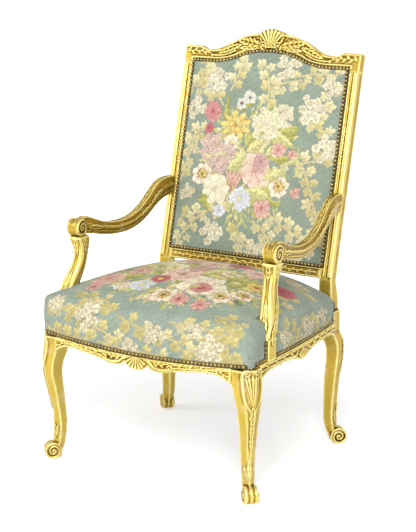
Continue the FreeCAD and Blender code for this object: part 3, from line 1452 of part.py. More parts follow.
def back_nails():
    """Nails round the back panel, on the edge of its cover."""
    rake = FreeCAD.Rotation(V(1, 0, 0), -value(S.back_rake))
    base = V(0, value(S.back_front), value(S.back_low))
    outline = draw_points(panel_outline(S.nail_inset))
    rise = value(S.nail_land_rise)
    out = rake.multVec(V(0, -1, 0))
    spots = []
    for point in outline:
        local = V(point.x, -rise, point.y)
        spots.append((base + rake.multVec(local), out))
    nail_group("back_nails", nail_row(spots + spots[:1])[:-1])


def draw_points(outline):
    """Spots along an outline of straight lines and arcs."""
    spots = []
    for index, point in enumerate(outline):
        target = outline[(index + 1) % len(outline)]
        start = V(value(point[0]), value(point[1]), 0)
        finish = V(value(target[0]), value(target[1]), 0)
        if len(target) == 4:
            middle = V(value(target[2]), value(target[3]), 0)
            edge = Part.Arc(start, middle, finish).toShape()
            along = edge.discretize(Number=13)
            if along[0].distanceToPoint(start) > along[-1].distanceToPoint(start):
                along.reverse()
            spots += along[:-1]
        else:
            spots.append(start)
    return spots


front_leg_right = front_leg()
mirror(front_leg_right, "front_leg_left")
back_post_right = back_post()
mirror(back_post_right, "back_post_left")
front_rail()
side_rail_right = side_rail()
mirror(side_rail_right, "side_seat_rail_left")
back_rail()
crest_rail()
lower_back_rail()
arm_right = arm()
mirror(arm_right, "arm_left")
arm_support_right = arm_support()
mirror(arm_support_right, "arm_support_left")
front_block = corner_block("corner_block_front_right", LEG_INNER_X, LEG_INNER_Y, FRONT_INNER, "1")
mirror(front_block, "corner_block_front_left")
rear_block = corner_block("corner_block_back_right", STILE_INNER, SEAT_BACK, BACK_RAIL_FRONT, "-1")
mirror(rear_block, "corner_block_back_left")
seat_webbing()
springs()
seat_hessian()
seat_stuffing()
seat_cover()
bottom_cloth()
back_webbing()
back_layers()
outside_back()
seat_nails()
back_nails()

doc.recompute()
for item in doc.Objects:
    if "Invalid" in item.State or "Error" in item.State:
        raise RuntimeError(f"{item.Label} failed: {item.State}")
os.makedirs("parts", exist_ok=True)
for piece in PIECES:
    if piece.Shape.isNull() or not piece.Shape.isValid():
        raise RuntimeError(f"{piece.Label} has no valid shape")
for piece in PIECES:
    piece.Shape.exportStep(f"parts/{piece.Label}.step")
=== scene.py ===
import math

import bpy
import numpy as np
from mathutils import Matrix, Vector


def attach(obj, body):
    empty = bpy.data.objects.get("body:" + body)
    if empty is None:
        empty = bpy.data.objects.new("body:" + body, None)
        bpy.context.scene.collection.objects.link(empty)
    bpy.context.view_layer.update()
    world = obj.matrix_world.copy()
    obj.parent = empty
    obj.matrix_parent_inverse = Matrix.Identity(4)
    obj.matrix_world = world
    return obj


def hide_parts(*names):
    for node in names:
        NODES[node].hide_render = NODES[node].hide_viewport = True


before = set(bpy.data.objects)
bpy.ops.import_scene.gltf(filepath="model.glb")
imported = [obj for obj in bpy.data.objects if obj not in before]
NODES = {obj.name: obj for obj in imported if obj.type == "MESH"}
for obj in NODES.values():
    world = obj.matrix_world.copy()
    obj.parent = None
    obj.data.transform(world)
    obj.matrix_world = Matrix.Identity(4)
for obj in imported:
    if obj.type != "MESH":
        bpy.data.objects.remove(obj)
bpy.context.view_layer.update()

# Fauteuil with a carved giltwood frame and tapestry covers.
# Forms are worked out in millimetres in the chair's own frame and written to the meshes in metres.

MM = 0.001
SCENE = bpy.context.scene

# The raked back: its lean, and the depth and height of its foot
BACK_LEAN = math.radians(13.86)
BACK_FRONT = 163.2
BACK_LOW = 462.0
LEAN_SIN = math.sin(BACK_LEAN)
LEAN_COS = math.cos(BACK_LEAN)

# Seat plan at the nail line
FRONT_LINE = 323.4
HALF_FRONT = 313.5
HALF_BACK = 284.0
SEAT_DEPTH = 488.4
FRONT_BOW = 21.0
SIDE_BOW = 11.0
NAIL_HEIGHT = 354.0
NAIL_DIP = 12.0
COVER_LAP = 6.0

# How far a spot has turned to a face when its carving begins, and when it has its full height
BACK_FACING = (0.25, 0.7)
FACING = (0.3, 0.75)
# The angle between a carved stem and its leaves
LEAF_TURN = 0.75


def ramp(low, high, values):
    """A smooth step from 0 to 1 between two values."""
    share = np.clip((values - low) / (high - low), 0.0, 1.0)
    return share * share * (3.0 - 2.0 * share)


def ridge(distance, width):
    """A rounded ridge, by the distance from its line."""
    return np.exp(-((distance / width) ** 2))


def highest(*forms):
    """Carved forms laid over each other: the highest shows."""
    return np.maximum.reduce(np.broadcast_arrays(*forms))


def line_distance(u, v, route):
    """Distance to a line of straight stretches."""
    nearest = np.full(u.shape, 1e6)
    for (u0, v0), (u1, v1) in zip(route, route[1:]):
        du, dv = u1 - u0, v1 - v0
        share = np.clip(((u - u0) * du + (v - v0) * dv) / (du * du + dv * dv), 0.0, 1.0)
        nearest = np.minimum(nearest, np.hypot(u - u0 - share * du, v - v0 - share * dv))
    return nearest


def bend(start, middle, finish, steps=8):
    """Points along a curve that sets out towards a middle point and ends at the finish."""
    points = []
    for step in range(steps + 1):
        t = step / steps
        near, mid, far = (1 - t) ** 2, 2 * t * (1 - t), t * t
        points.append(tuple(near * a + mid * b + far * c for a, b, c in zip(start, middle, finish)))
    return points


def polar(centre, reach, angle):
    """The point at a reach from a centre; the reach may differ across and up."""
    wide, high = np.broadcast_to(reach, 2)
    return centre[0] + wide * math.cos(angle), centre[1] + high * math.sin(angle)


def leaf(u, v, foot, tip, width, lobes=3):
    """A carved leaf: lobed edges, a hollow mid vein and ribbed sides."""
    du, dv = tip[0] - foot[0], tip[1] - foot[1]
    length = math.hypot(du, dv)
    along = ((u - foot[0]) * du + (v - foot[1]) * dv) / (length * length)
    across = ((v - foot[1]) * du - (u - foot[0]) * dv) / length
    s = np.clip(along, 0.0, 1.0)
    half = 0.5 * width * np.sin(np.pi * s ** 0.8) ** 0.7
    half *= 1.0 - 0.25 * np.abs(np.sin(np.pi * lobes * s))
    body = ramp(0.0, 0.16 * width, half - np.abs(across))
    rib = 0.16 * np.cos(2 * np.pi * (lobes * s - np.abs(across) / (0.45 * width)))
    vein = 0.45 * ridge(across, 0.07 * width + 0.3)
    form = body * (0.62 + 0.38 * ridge(across, 0.3 * width) + rib - vein)
    return np.where((along > 0) & (along < 1), form, 0.0)


def leaves(u, v, *blades):
    """Carved leaves, each given by its foot, tip, width and lobes."""
    return highest(*(leaf(u, v, *blade) for blade in blades))


def walk(route, share):
    """Place and heading at a share of a route's points."""
    at = share * (len(route) - 1)
    index = min(int(at), len(route) - 2)
    (u0, v0), (u1, v1) = route[index], route[index + 1]
    part = at - index
    return (u0 + (u1 - u0) * part, v0 + (v1 - v0) * part), math.atan2(v1 - v0, u1 - u0)


def spray(u, v, route, size, count):
    """A stem with leaves to either side by turns, smaller towards its end, and one at its tip."""
    form = 0.7 * ridge(line_distance(u, v, route), 0.1 * size)
    for number in range(count):
        share = number / count
        place, heading = walk(route, share)
        heading += LEAF_TURN if number % 2 else -LEAF_TURN
        length = size * (1.0 - 0.35 * share)
        form = highest(form, leaf(u, v, place, polar(place, length, heading), 0.55 * length))
    place, heading = walk(route, 1.0)
    return highest(form, leaf(u, v, place, polar(place, 0.8 * size, heading), 0.4 * size))


def volute(u, v, centre, radius, turns, width, start=0.0, hand=1):
    """A spiral ridge that winds in to an eye."""
    du, dv = u - centre[0], v - centre[1]
    reach = np.hypot(du, dv)
    phase = ((np.arctan2(dv, du) * hand - start) / (2 * np.pi)) % 1.0
    form = ridge(reach, 0.2 * radius)
    for turn in range(math.ceil(turns)):
        at = radius * (1.0 - (phase + turn) / turns)
        form = np.maximum(form, np.where(at > 0.1 * radius, ridge(reach - at, width), 0.0))
    return form * ramp(1.15 * radius, 1.0 * radius, reach)


def shell(u, v, foot, radius, ribs, spread, up=1):
    """A fluted shell that opens from its foot."""
    du, dv = u - foot[0], (v - foot[1]) * up
    reach = np.hypot(du, dv)
    angle = np.arctan2(du, dv)
    wave = np.abs(np.cos(angle / spread * ribs * np.pi / 2))
    rim = radius * (0.9 + 0.1 * wave)
    inside = ramp(0.0, 0.06 * radius, rim - reach) * ramp(0.0, 0.1, spread - np.abs(angle))
    dish = 0.3 + 0.7 * np.clip(reach / radius, 0.0, 1.0) ** 0.7
    return inside * dish * (0.4 + 0.6 * wave)


# Mesh handling


def link(name, data):
    """A new object in the scene."""
    piece = bpy.data.objects.new(name, data)
    SCENE.collection.objects.link(piece)
    return piece


def dress(piece, slot, material, *nodes):
    """A finished piece: what it stands for, what it rides on and what it is made of."""
    piece.data.materials.clear()
    piece.data.materials.append(material)
    piece.data.shade_smooth()
    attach(piece, "root")
    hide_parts(*nodes)
    return piece


def grained(node, voxel, steps):
    """A copy of a solid with an even, fine surface that can be carved."""
    piece = link(node + "_carved", NODES[node].data.copy())
    even = piece.modifiers.new("even", "REMESH")
    even.mode = "VOXEL"
    even.voxel_size = voxel * MM
    soft = piece.modifiers.new("soft", "SMOOTH")
    soft.iterations = steps
    graph = bpy.context.evaluated_depsgraph_get()
    mesh = bpy.data.meshes.new_from_object(piece.evaluated_get(graph))
    piece.modifiers.clear()
    piece.data = mesh
    return piece


def read_points(mesh):
    """Vertex places in millimetres and vertex normals."""
    places = np.empty(len(mesh.vertices) * 3, dtype=np.float32)
    mesh.vertices.foreach_get("co", places)
    normals = np.empty(len(mesh.vertices) * 3, dtype=np.float32)
    mesh.vertex_normals.foreach_get("vector", normals)
    return places.reshape(-1, 3).astype(float) / MM, normals.reshape(-1, 3).astype(float)


def write_points(mesh, places):
    """Vertex places from millimetres."""
    mesh.vertices.foreach_set("co", (places * MM).astype(np.float32).ravel())
    mesh.update()


def write_value(mesh, name, values):
    """A number on each vertex."""
    layer = mesh.attributes.new(name, "FLOAT", "POINT")
    layer.data.foreach_set("value", values.astype(np.float32))


def write_colour(mesh, name, colours):
    """A colour on each vertex."""
    layer = mesh.attributes.new(name, "FLOAT_COLOR", "POINT")
    alpha = np.ones((len(colours), 1))
    layer.data.foreach_set("color", np.hstack([colours, alpha]).astype(np.float32).ravel())


def evened(mesh, values, steps):
    """Values averaged with those of the neighbouring vertices."""
    ends = np.empty(len(mesh.edges) * 2, dtype=np.int32)
    mesh.edges.foreach_get("vertices", ends)
    first, second = ends.reshape(-1, 2).T
    count = len(mesh.vertices)
    share = np.bincount(first, minlength=count) + np.bincount(second, minlength=count)
    share = np.maximum(share, 1)
    for step in range(steps):
        total = np.bincount(first, values[second], count) + np.bincount(second, values[first], count)
        values = 0.5 * values + 0.5 * total / share
    return values


# The steps that even out a carved surface, and how strongly what stands out from that shows in its tone: a
# painted highlight on the raised carving and painted shade in the hollows
SHADING_STEPS = 10
SHADING_GAIN = 1.2


def carve(node, relief, material, shade_shift=0.0, voxel=1.6, steps=4):
    """A carved wooden piece: the solid, softened, with its ornament raised, a painted highlight on what stands
    out and painted shade in its hollows.
    """
    piece = grained(node, voxel, steps)
    mesh = piece.data
    places, normals = read_points(mesh)
    height = relief(places, normals)
    places += normals * height[:, None]
    write_points(mesh, places)
    normals = read_points(mesh)[1]
    # Tone from what stands out of the evened surface: painted highlight on the raised carving, painted shade
    # in the hollows
    broad = np.column_stack([evened(mesh, places[:, axis], SHADING_STEPS) for axis in range(3)])
    convex = np.sum((places - broad) * normals, axis=1)
    # The piece's shift darkens its whole tone as painted shade, or lightens it as painted light where it is
    # below zero
    write_value(mesh, "tone", np.clip(0.5 - shade_shift + SHADING_GAIN * convex, 0.0, 1.0))
    return dress(piece, "gilt_wood", material, node)


# Ornament of the back's frame, in lengths across and up its slope


def back_frame(places, normals):
    """Half width, length up the slope, depth behind the front, and how far a spot faces the front."""
    depth, height = places[:, 1] - BACK_FRONT, places[:, 2] - BACK_LOW
    up = depth * LEAN_SIN + height * LEAN_COS
    behind = depth * LEAN_COS - height * LEAN_SIN
    facing = -(normals[:, 1] * LEAN_COS - normals[:, 2] * LEAN_SIN)
    return np.abs(places[:, 0]), up, behind, facing


CREST_LINE = bend((37, 645), (92, 640), (128, 614)) + bend((135, 608), (160, 592), (196, 593), 6)
CREST_LINE += bend((200, 593), (212, 603), (224, 603), 4) + [(274, 603)]
PANEL_LINE = bend((0, 601), (70, 600), (108, 578)) + bend((112, 576), (140, 566), (172, 565), 5)
PANEL_LINE += [(246, 565)]


def crest_relief(places, normals):
    """Crest: a shell amid foliage that runs down the curve, and leaf sprays on the ears."""
    u, v, _, facing = back_frame(places, normals)
    front = ramp(*BACK_FACING, facing)
    outer = line_distance(u, v, CREST_LINE)
    inner = line_distance(u, v, PANEL_LINE)
    mouldings = highest(1.7 * ridge(outer - 5, 2.4), 1.5 * ridge(inner - 4.5, 2.2))
    foliage = 3.4 * leaves(
        u, v, ((30, 610), (112, 624), 38, 6), ((40, 602), (104, 600), 19, 4), ((94, 610), (168, 581), 27, 6)
    )
    scroll = 3.2 * ridge(line_distance(u, v, bend((112, 592), (140, 574), (186, 577))), 2.4)
    ears = 2.2 * spray(u, v, bend((264, 584), (222, 592), (178, 578)), 18, 8)
    crown = 5.5 * shell(u, v, (0, 603), 54, 7, 0.86)
    curls = 4.0 * volute(u, v, (24, 607), 13, 1.6, 2.4, start=1.0)
    return front * highest(mouldings, foliage, scroll, ears, crown, curls)


def stile_relief(places, normals):
    """Stile: a bead beside the panel, a leaf band, a hollow and a hatched round along the outer edge."""
    u, v, behind, facing = back_frame(places, normals)
    front = ramp(*BACK_FACING, facing) * ramp(2, 10, v)
    bead = 1.4 * ridge(u - 249, 1.8)
    hatching = 0.3 * np.sin(np.pi * (u + v) / 3.6) * np.sin(np.pi * (u - v) / 3.6)
    band = np.sqrt(np.clip(1 - ((u - 266) / 6.5) ** 2, 0.0, 1.0)) * (2.4 + hatching)
    band = highest(band, 1.6 * spray(u, v, [(253.5, 270), (253.5, 400)], 9, 14))
    hollow = -1.3 * ridge(u - 258, 2.0)
    side = ramp(0.5, 0.85, np.abs(normals[:, 0])) * ramp(20, 40, v)
    edge = 1.2 * ridge(behind - 6, 2.0) + 0.8 * ridge(behind - 22, 2.0)
    return front * (highest(bead, band) + hollow) + side * edge


def lower_rail_relief(places, normals):
    """Lower rail of the back: a leaf band between two fillets."""
    u, v, _, facing = back_frame(places, normals)
    front = ramp(*BACK_FACING, facing)
    fillets = 1.2 * ridge(v - 5, 1.6) + 1.2 * ridge(v - 27, 1.6)
    band = 1.4 * spray(u, v, [(8, 16), (80, 17), (150, 15), (215, 16)], 15, 16)
    knot = 2.6 * shell(u, v, (0, 8), 15, 5, 1.2)
    return front * highest(fillets, band, knot)


# Ornament of the legs

FRONT_FOOT = (301.6, -298.6)
BACK_FOOT = (276.2, 205.8)
SCROLL_OUT = 3.5
SCROLL_HIGH = 21.2


def leg_relief(places, normals, foot, ahead):
    """Leg: husks down its corner, an ankle leaf, and a foot that winds up in a volute."""
    diagonal = np.array([1.0, ahead]) / math.sqrt(2)
    side = np.array([-diagonal[1], diagonal[0]])
    sign = np.sign(places[:, 0])
    plan = np.column_stack([np.abs(places[:, 0]) - foot[0], places[:, 1] - foot[1]])
    facing = np.column_stack([normals[:, 0] * sign, normals[:, 1]])
    along, across = plan @ diagonal, plan @ side
    out, aside = facing @ diagonal, facing @ side
    z = places[:, 2]
    corner = ramp(0.1, 0.5, out)
    ankle = 1.9 * highest(
        leaf(across, z, (0, 56), (0, 122), 17, 4),
        leaf(np.abs(across), z, (5, 54), (13, 98), 10),
    )
    wall = ramp(0.45, 0.8, np.abs(aside)) * ramp(52, 42, z)
    curl = 2.6 * volute(along - SCROLL_OUT, z, (0, SCROLL_HIGH), 21, 2.1, 2.2, start=-0.6, hand=-1)
    round_foot = ramp(0.75, 0.5, np.abs(aside)) * ramp(52, 42, z) * ramp(3, 8, z)
    ribs = 0.9 * np.cos(2 * np.pi * across / 13)
    return corner * ankle + wall * curl + round_foot * ribs, corner, across, z


def front_leg_relief(places, normals):
    """Front leg: a fluted cartouche in a scrolled frame on the knee, over a chain of husks."""
    form, corner, across, z = leg_relief(places, normals, FRONT_FOOT, -1.0)
    lean = across - 1.5
    beside = np.abs(lean)
    flutes = 3.0 * shell(lean, z, (0, 246), 84, 5, 0.3)
    frame_line = bend((3, 238), (27, 262), (26, 318)) + bend((27, 322), (27, 344), (12, 343), 5)
    border = 2.8 * ridge(line_distance(beside, z, frame_line), 3.0)
    curl = 2.8 * volute(beside, z, (15, 334), 9, 1.5, 2.0, start=1.5)
    husks = 3.0 * leaves(
        lean, z, ((0, 252), (0, 192), 24, 4), ((0, 210), (0, 160), 19, 4), ((0, 174), (0, 132), 14, 3)
    )
    punched = 0.5 * np.sin(np.pi * lean / 2.6) * np.sin(np.pi * z / 2.6)
    punched = punched * ramp(17, 13, beside) * ramp(120, 150, z) * ramp(270, 250, z)
    return form + corner * (highest(flutes, border, curl, husks) + punched)


def back_post_relief(places, normals):
    """Back post: the rear leg's plainer carving and the stile's mouldings."""
    form, corner, across, z = leg_relief(places, normals, BACK_FOOT, 1.0)
    low = ramp(320, 300, z)
    husks = 2.0 * leaves(across, z, ((0, 300), (0, 230), 20, 4), ((0, 246), (0, 190), 13, 3))
    high = np.where(z > 440, stile_relief(places, normals), 0.0)
    return low * (form + corner * husks) + high


# Ornament of the seat rails

APRON_LINE = bend((0, 304), (34, 303), (36, 317)) + bend((40, 310), (66, 300), (104, 313))
APRON_LINE += bend((110, 314), (155, 321), (205, 325.5), 4) + bend((215, 325), (252, 320), (266, 300), 5)


def front_rail_relief(places, normals):
    """Front apron: a hanging shell between scrolls, with foliage towards the legs."""
    u, z = np.abs(places[:, 0]), places[:, 2]
    front = ramp(*FACING, -normals[:, 1])
    edge = 2.2 * ridge(line_distance(u, z, APRON_LINE) - 3.5, 2.6)
    top = NAIL_HEIGHT - NAIL_DIP * (1 - (u / HALF_FRONT) ** 2) - 12
    fillet = 1.2 * ridge(z - top, 1.8)
    crown = 6.0 * shell(u, z, (0, 339), 36, 7, 1.15, up=-1)
    scroll = 4.6 * ridge(line_distance(u, z, bend((36, 334), (52, 304), (98, 318))), 3.8)
    curls = 4.4 * highest(
        volute(u, z, (38, 331), 9, 1.5, 2.2),
        volute(u, z, (100, 322), 9, 1.5, 2.2, start=2.0, hand=-1),
    )
    foliage = 4.2 * spray(u, z, bend((106, 323), (160, 329), (214, 334)), 24, 7)
    inner = 3.4 * spray(u, z, bend((54, 328), (72, 324), (88, 331), 3), 14, 4)
    end = 2.6 * spray(u, z, bend((226, 334), (252, 330), (268, 312), 4), 14, 5)
    return front * highest(edge, fillet, crown, scroll, curls, foliage, inner, end)


SIDE_MIDDLE = -55.0
SIDE_LINE = bend((0, 309), (30, 309), (52, 325.5), 5) + [(150, 325.5)]
SIDE_LINE += bend((172, 325.5), (200, 322), (220, 306), 5)


def side_rail_relief(places, normals):
    """Side apron: a small cartouche with foliage to both sides."""
    u, z = np.abs(places[:, 1] - SIDE_MIDDLE), places[:, 2]
    outer = ramp(*FACING, normals[:, 0] * np.sign(places[:, 0])) * ramp(NAIL_HEIGHT, NAIL_HEIGHT - 6, z)
    edge = 2.2 * ridge(line_distance(u, z, SIDE_LINE) - 3.5, 2.6)
    fillet = 1.2 * ridge(z - (NAIL_HEIGHT - 13), 1.8)
    crown = 5.0 * shell(u, z, (0, 341), 32, 7, 1.1, up=-1)
    scroll = 4.0 * ridge(line_distance(u, z, bend((32, 336), (46, 318), (78, 331))), 3.4)
    foliage = 4.0 * spray(u, z, bend((40, 327), (120, 337), (205, 331)), 23, 8)
    return outer * highest(edge, fillet, crown, scroll, foliage)


# Ornament of the arms and their supports

ARM_FRONT_X = 296.5
ARM_BACK_X = 263.5
ARM_FRONT_Y = -186.5
ARM_BACK_Y = 212.8
ARM_SCROLL_HIGH = 603.5
ARM_DEPTHS = (-178, -112, -36, 32, 92, 145, 212.8)
ARM_MIDDLES = (605, 593, 580, 586, 614, 650, 663)


def arm_relief(places, normals):
    """Arm: mouldings along it, leaves on its top and at its bend, and a volute at its hand."""
    x, y, z = np.abs(places[:, 0]), places[:, 1], places[:, 2]
    share = (y - ARM_FRONT_Y) / (ARM_BACK_Y - ARM_FRONT_Y)
    across = x - (ARM_FRONT_X + (ARM_BACK_X - ARM_FRONT_X) * share)
    level = z - np.interp(y, ARM_DEPTHS, ARM_MIDDLES)
    top = ramp(0.3, 0.7, normals[:, 2])
    wall = ramp(0.35, 0.75, np.abs(normals[:, 0]))
    lines = 0.9 * ridge(np.abs(across) - 8.5, 1.9)
    upper = 2.4 * leaves(
        across, y, ((0, -196), (0, -128), 24, 5), ((0, 60), (0, -10), 20, 4),
        ((0, 168), (0, 88), 22, 5), ((0, 104), (0, 46), 17, 4),
    )
    hand = np.hypot(y - ARM_FRONT_Y, z - ARM_SCROLL_HIGH) < 27
    curl = 1.6 * volute(y, z, (ARM_FRONT_Y, ARM_SCROLL_HIGH), 22.5, 2.1, 2.6, start=1.2)
    flutes = 0.6 * ridge(level - 4, 2.2) + 0.8 * ridge(level + 10, 2.0)
    sides = 2.4 * leaves(
        level, y, ((2, 160), (2, 96), 26, 5), ((0, 112), (0, 52), 20, 4), ((0, -160), (0, -96), 22, 4)
    )
    return top * highest(lines, upper) + wall * np.where(hand, curl, highest(flutes, sides))


SUPPORT_HEIGHTS = (400, 430, 462, 500, 536, 580)
SUPPORT_X = (307, 305, 301.2, 292.5, 288.8, 293)
SUPPORT_Y = (-227, -222, -209.5, -193, -183, -184)


def support_relief(places, normals):
    """Arm support: flutes up its stem, with leaves at its foot and under the arm."""
    x, y, z = np.abs(places[:, 0]), places[:, 1], places[:, 2]
    across = x - np.interp(z, SUPPORT_HEIGHTS, SUPPORT_X)
    along = y - np.interp(z, SUPPORT_HEIGHTS, SUPPORT_Y)
    front = ramp(*FACING, np.abs(normals[:, 1]))
    wall = ramp(*FACING, np.abs(normals[:, 0]))
    form = 0.0
    for offset, mask in ((across, front), (along, wall)):
        flutes = ridge(np.abs(offset) - 7.5, 2.0) * ramp(440, 470, z)
        husks = 2.6 * leaves(
            offset, z, ((0, 384), (0, 462), 27, 4), ((0, 440), (0, 496), 15, 3), ((0, 588), (0, 532), 20, 4)
        )
        swell = 2.4 * ramp(525, 584, z) + 3.2 * ridge(z - 424, 22)
        form = form + mask * (highest(flutes, husks) + swell)
    return form


def plain_relief(places, normals):
    """Uncarved wood, left a little uneven by the plane."""
    return 0.05 * wander(places[:, 0], places[:, 2], 60, 5)


# Materials


def new_material(name):
    """A material with its node tree and its surface node."""
    material = bpy.data.materials.new(name)
    material.use_nodes = True
    tree = material.node_tree
    return material, tree, tree.nodes["Principled BSDF"]


def set_inputs(tree, node, inputs):
    """A node's inputs, each linked to a socket or set to a plain value."""
    for place, given in inputs.items():
        if hasattr(given, "is_linked"):
            tree.links.new(given, node.inputs[place])
        else:
            node.inputs[place].default_value = given


def add_node(tree, kind, output, inputs, **settings):
    """One output of a new node with its inputs and settings."""
    node = tree.nodes.new("ShaderNode" + kind)
    for name, value in settings.items():
        setattr(node, name, value)
    set_inputs(tree, node, inputs)
    return node.outputs[output]


def noise(tree, scale, detail=4.0, stretch=None):
    """A noise texture in the chair's own coordinates, even or stretched."""
    place = add_node(tree, "TexCoord", "Object", {})
    if stretch:
        place = add_node(tree, "Mapping", "Vector", {"Vector": place, "Scale": stretch})
    return add_node(tree, "TexNoise", "Fac", {"Vector": place, "Scale": scale, "Detail": detail})


def colour_ramp(tree, source, stops):
    """Colours by a value."""
    node = tree.nodes.new("ShaderNodeValToRGB")
    elements = node.color_ramp.elements
    while len(elements) < len(stops):
        elements.new(0.5)
    for element, (place, colour) in zip(elements, stops):
        element.position = place
        element.color = (*colour, 1.0)
    set_inputs(tree, node, {"Fac": source})
    return node.outputs["Color"]


def spots(tree, scale, detail, first, full, least, most):
    """A grey in spots: the noise where it starts and where it is full, and its least and most."""
    return colour_ramp(tree, noise(tree, scale, detail), [(first, (least,) * 3), (full, (most,) * 3)])


def mix(tree, share, first, colour):
    """A colour mixed into the first by a share."""
    return add_node(tree, "Mix", 2, {0: share, 6: first, 7: (*colour, 1.0)}, data_type="RGBA")


def attribute(tree, name, output):
    """A value kept on the mesh."""
    return add_node(tree, "Attribute", output, {}, attribute_name=name)


def bump(tree, surface, height, strength, distance):
    """Fine relief in the surface's shading."""
    inputs = {"Strength": strength, "Distance": distance, "Height": height}
    set_inputs(tree, surface, {"Normal": add_node(tree, "Bump", "Normal", inputs)})


# Gilding by its tone, from painted shade in the hollows to a painted highlight on the ridges, and its rubbed,
# toned and patched spots
GILT_SHADE_TO_HIGHLIGHT = (
    (0.0, (0.06, 0.026, 0.003)),
    (0.28, (0.31, 0.175, 0.018)),
    (0.5, (0.60, 0.435, 0.068)),
    (1.0, (0.86, 0.76, 0.30)),
)
RUBBED = (0.82, 0.70, 0.32)
TONED = (0.46, 0.29, 0.04)
PATCHED = (0.76, 0.62, 0.32)
# Brass from painted shade at a nail head's rim to a painted highlight on its crown
BRASS_SHADE_TO_HIGHLIGHT = ((0.0, (0.03, 0.018, 0.006)), (0.5, (0.15, 0.10, 0.03)), (1.0, (0.46, 0.34, 0.11)))
# A wave texture's scale for ribs one metre apart
RIB_SCALE = 0.314


def gilt_material():
    """Water gilding: a painted highlight on the raised carving, painted brown shade in the hollows, rubbed
    pale in spots.
    """
    material, tree, surface = new_material("gilt")
    colour = colour_ramp(tree, attribute(tree, "tone", "Fac"), GILT_SHADE_TO_HIGHLIGHT)
    colour = mix(tree, spots(tree, 38.0, 6.0, 0.55, 0.75, 0.0, 0.3), colour, RUBBED)
    colour = mix(tree, spots(tree, 9.0, 5.0, 0.45, 0.8, 0.0, 0.45), colour, TONED)
    colour = mix(tree, spots(tree, 15.0, 7.0, 0.6, 0.72, 0.0, 0.4), colour, PATCHED)
    rough = spots(tree, 60.0, 4.0, 0.3, 0.75, 0.30, 0.52)
    set_inputs(tree, surface, {
        "Base Color": colour, "Metallic": 0.7, "Specular IOR Level": 0.25, "Roughness": rough,
    })
    bump(tree, surface, noise(tree, 420.0, 3.0), 0.25, 0.0006)
    return material


def cloth_material(name, colour_source, rib, strength):
    """A woven cloth with ribs both ways; its colour is a plain one or is kept on the mesh."""
    material, tree, surface = new_material(name)
    if isinstance(colour_source, str):
        colour = attribute(tree, colour_source, "Color")
    else:
        shaded = tuple(0.75 * c for c in colour_source)
        colour = colour_ramp(tree, noise(tree, 420.0), [(0.3, shaded), (0.7, colour_source)])
    ribs = {"Vector": attribute(tree, "weave", "Vector"), "Scale": RIB_SCALE / (rib * MM), "Distortion": 0.4}
    waves = [add_node(tree, "TexWave", "Fac", ribs, bands_direction=way) for way in "XY"]
    both = add_node(tree, "Math", 0, dict(enumerate(waves)), operation="MULTIPLY")
    bump(tree, surface, both, strength, 0.0005)
    set_inputs(tree, surface, {
        "Base Color": colour, "Roughness": 0.92, "Specular IOR Level": 0.15, "Sheen Weight": 0.12,
    })
    return material


def brass_material():
    """Old brass nail heads, with painted shade at their edges and a painted highlight on their crowns."""
    material, tree, surface = new_material("brass")
    tone = colour_ramp(tree, attribute(tree, "tone", "Fac"), BRASS_SHADE_TO_HIGHLIGHT)
    set_inputs(tree, surface, {"Base Color": tone, "Metallic": 0.85, "Roughness": 0.36})
    return material


def inner_material(name, dark, pale, stretch, rough, metal=0.0):
    """Stuff that lies inside, in streaks of two tones: the grain of wood, jute threads or tarnished wire."""
    material, tree, surface = new_material(name)
    streak = noise(tree, 1.0, 6.0, stretch)
    tone = colour_ramp(tree, streak, [(0.35, dark), (0.65, pale)])
    set_inputs(tree, surface, {"Base Color": tone, "Roughness": rough, "Metallic": metal})
    bump(tree, surface, streak, 0.3, 0.0005)
    return material


# Tapestry painting


def wander(u, v, length, seed):
    """A soft random field, about one unit high, with waves of about a given length."""
    rng = np.random.default_rng(seed)
    field = np.zeros_like(u)
    for term in range(7):
        angle = rng.uniform(0, 2 * math.pi)
        wave = 2 * math.pi / (length * rng.uniform(0.7, 1.5))
        field += np.sin(wave * (u * math.cos(angle) + v * math.sin(angle)) + rng.uniform(0, 6.3))
    return field / 2.6


# Wool colours
TEAL = (0.278, 0.336, 0.266)
SEAT_TEAL = (0.367, 0.423, 0.354)
CREAM = (0.80, 0.73, 0.43)
STRAW = (0.70, 0.62, 0.29)
TAN = (0.56, 0.48, 0.25)
UMBER = (0.37, 0.28, 0.18)
OLIVE = (0.47, 0.46, 0.14)
PALE = (0.64, 0.62, 0.28)
GREEN = (0.27, 0.32, 0.15)
WHITE = (0.84, 0.79, 0.60)
ICE = (0.75, 0.76, 0.77)
YELLOW = (0.80, 0.66, 0.21)
RUST = (0.42, 0.15, 0.07)
RED = (0.42, 0.075, 0.08)
PINK = (0.55, 0.19, 0.20)
BLUSH = (0.74, 0.50, 0.41)
SHELL_PINK = (0.80, 0.62, 0.48)
MAUVE = (0.38, 0.17, 0.23)
BLUE = (0.36, 0.41, 0.48)
BARK = (0.16, 0.10, 0.05)
# Dark braid colour, also laid as painted shade along the nail rows and where the seat cover meets the arm
# supports
NAIL_BRAID_AND_SHADE = (0.075, 0.052, 0.02)


def dyed(first, second, share):
    """Two wools spun together."""
    return np.array(first) * (1 - share) + np.array(second) * share


DEEP_ROSE = dyed(PINK, BLUSH, 0.4)
SOFT_ROSE = dyed(PINK, BLUSH, 0.5)
MILK_BLUSH = dyed(WHITE, BLUSH, 0.5)
WARM_BLUSH = dyed(WHITE, BLUSH, 0.6)
DUSKY_BLUSH = np.array(BLUSH) * 0.85
LEAF_LINE = np.array(TAN) * 0.9
FILLING_TINTS = (OLIVE, PALE, PALE, GREEN, CREAM, STRAW, STRAW, BLUSH)
SPRIG_TINTS = (PALE, CREAM, OLIVE, PALE, STRAW)

# Widths of branches and stalks, and the length of a vine leaf
BRANCH_WIDTH = 4.4
STALK_WIDTH = 1.8
VINE_LEAF = 22
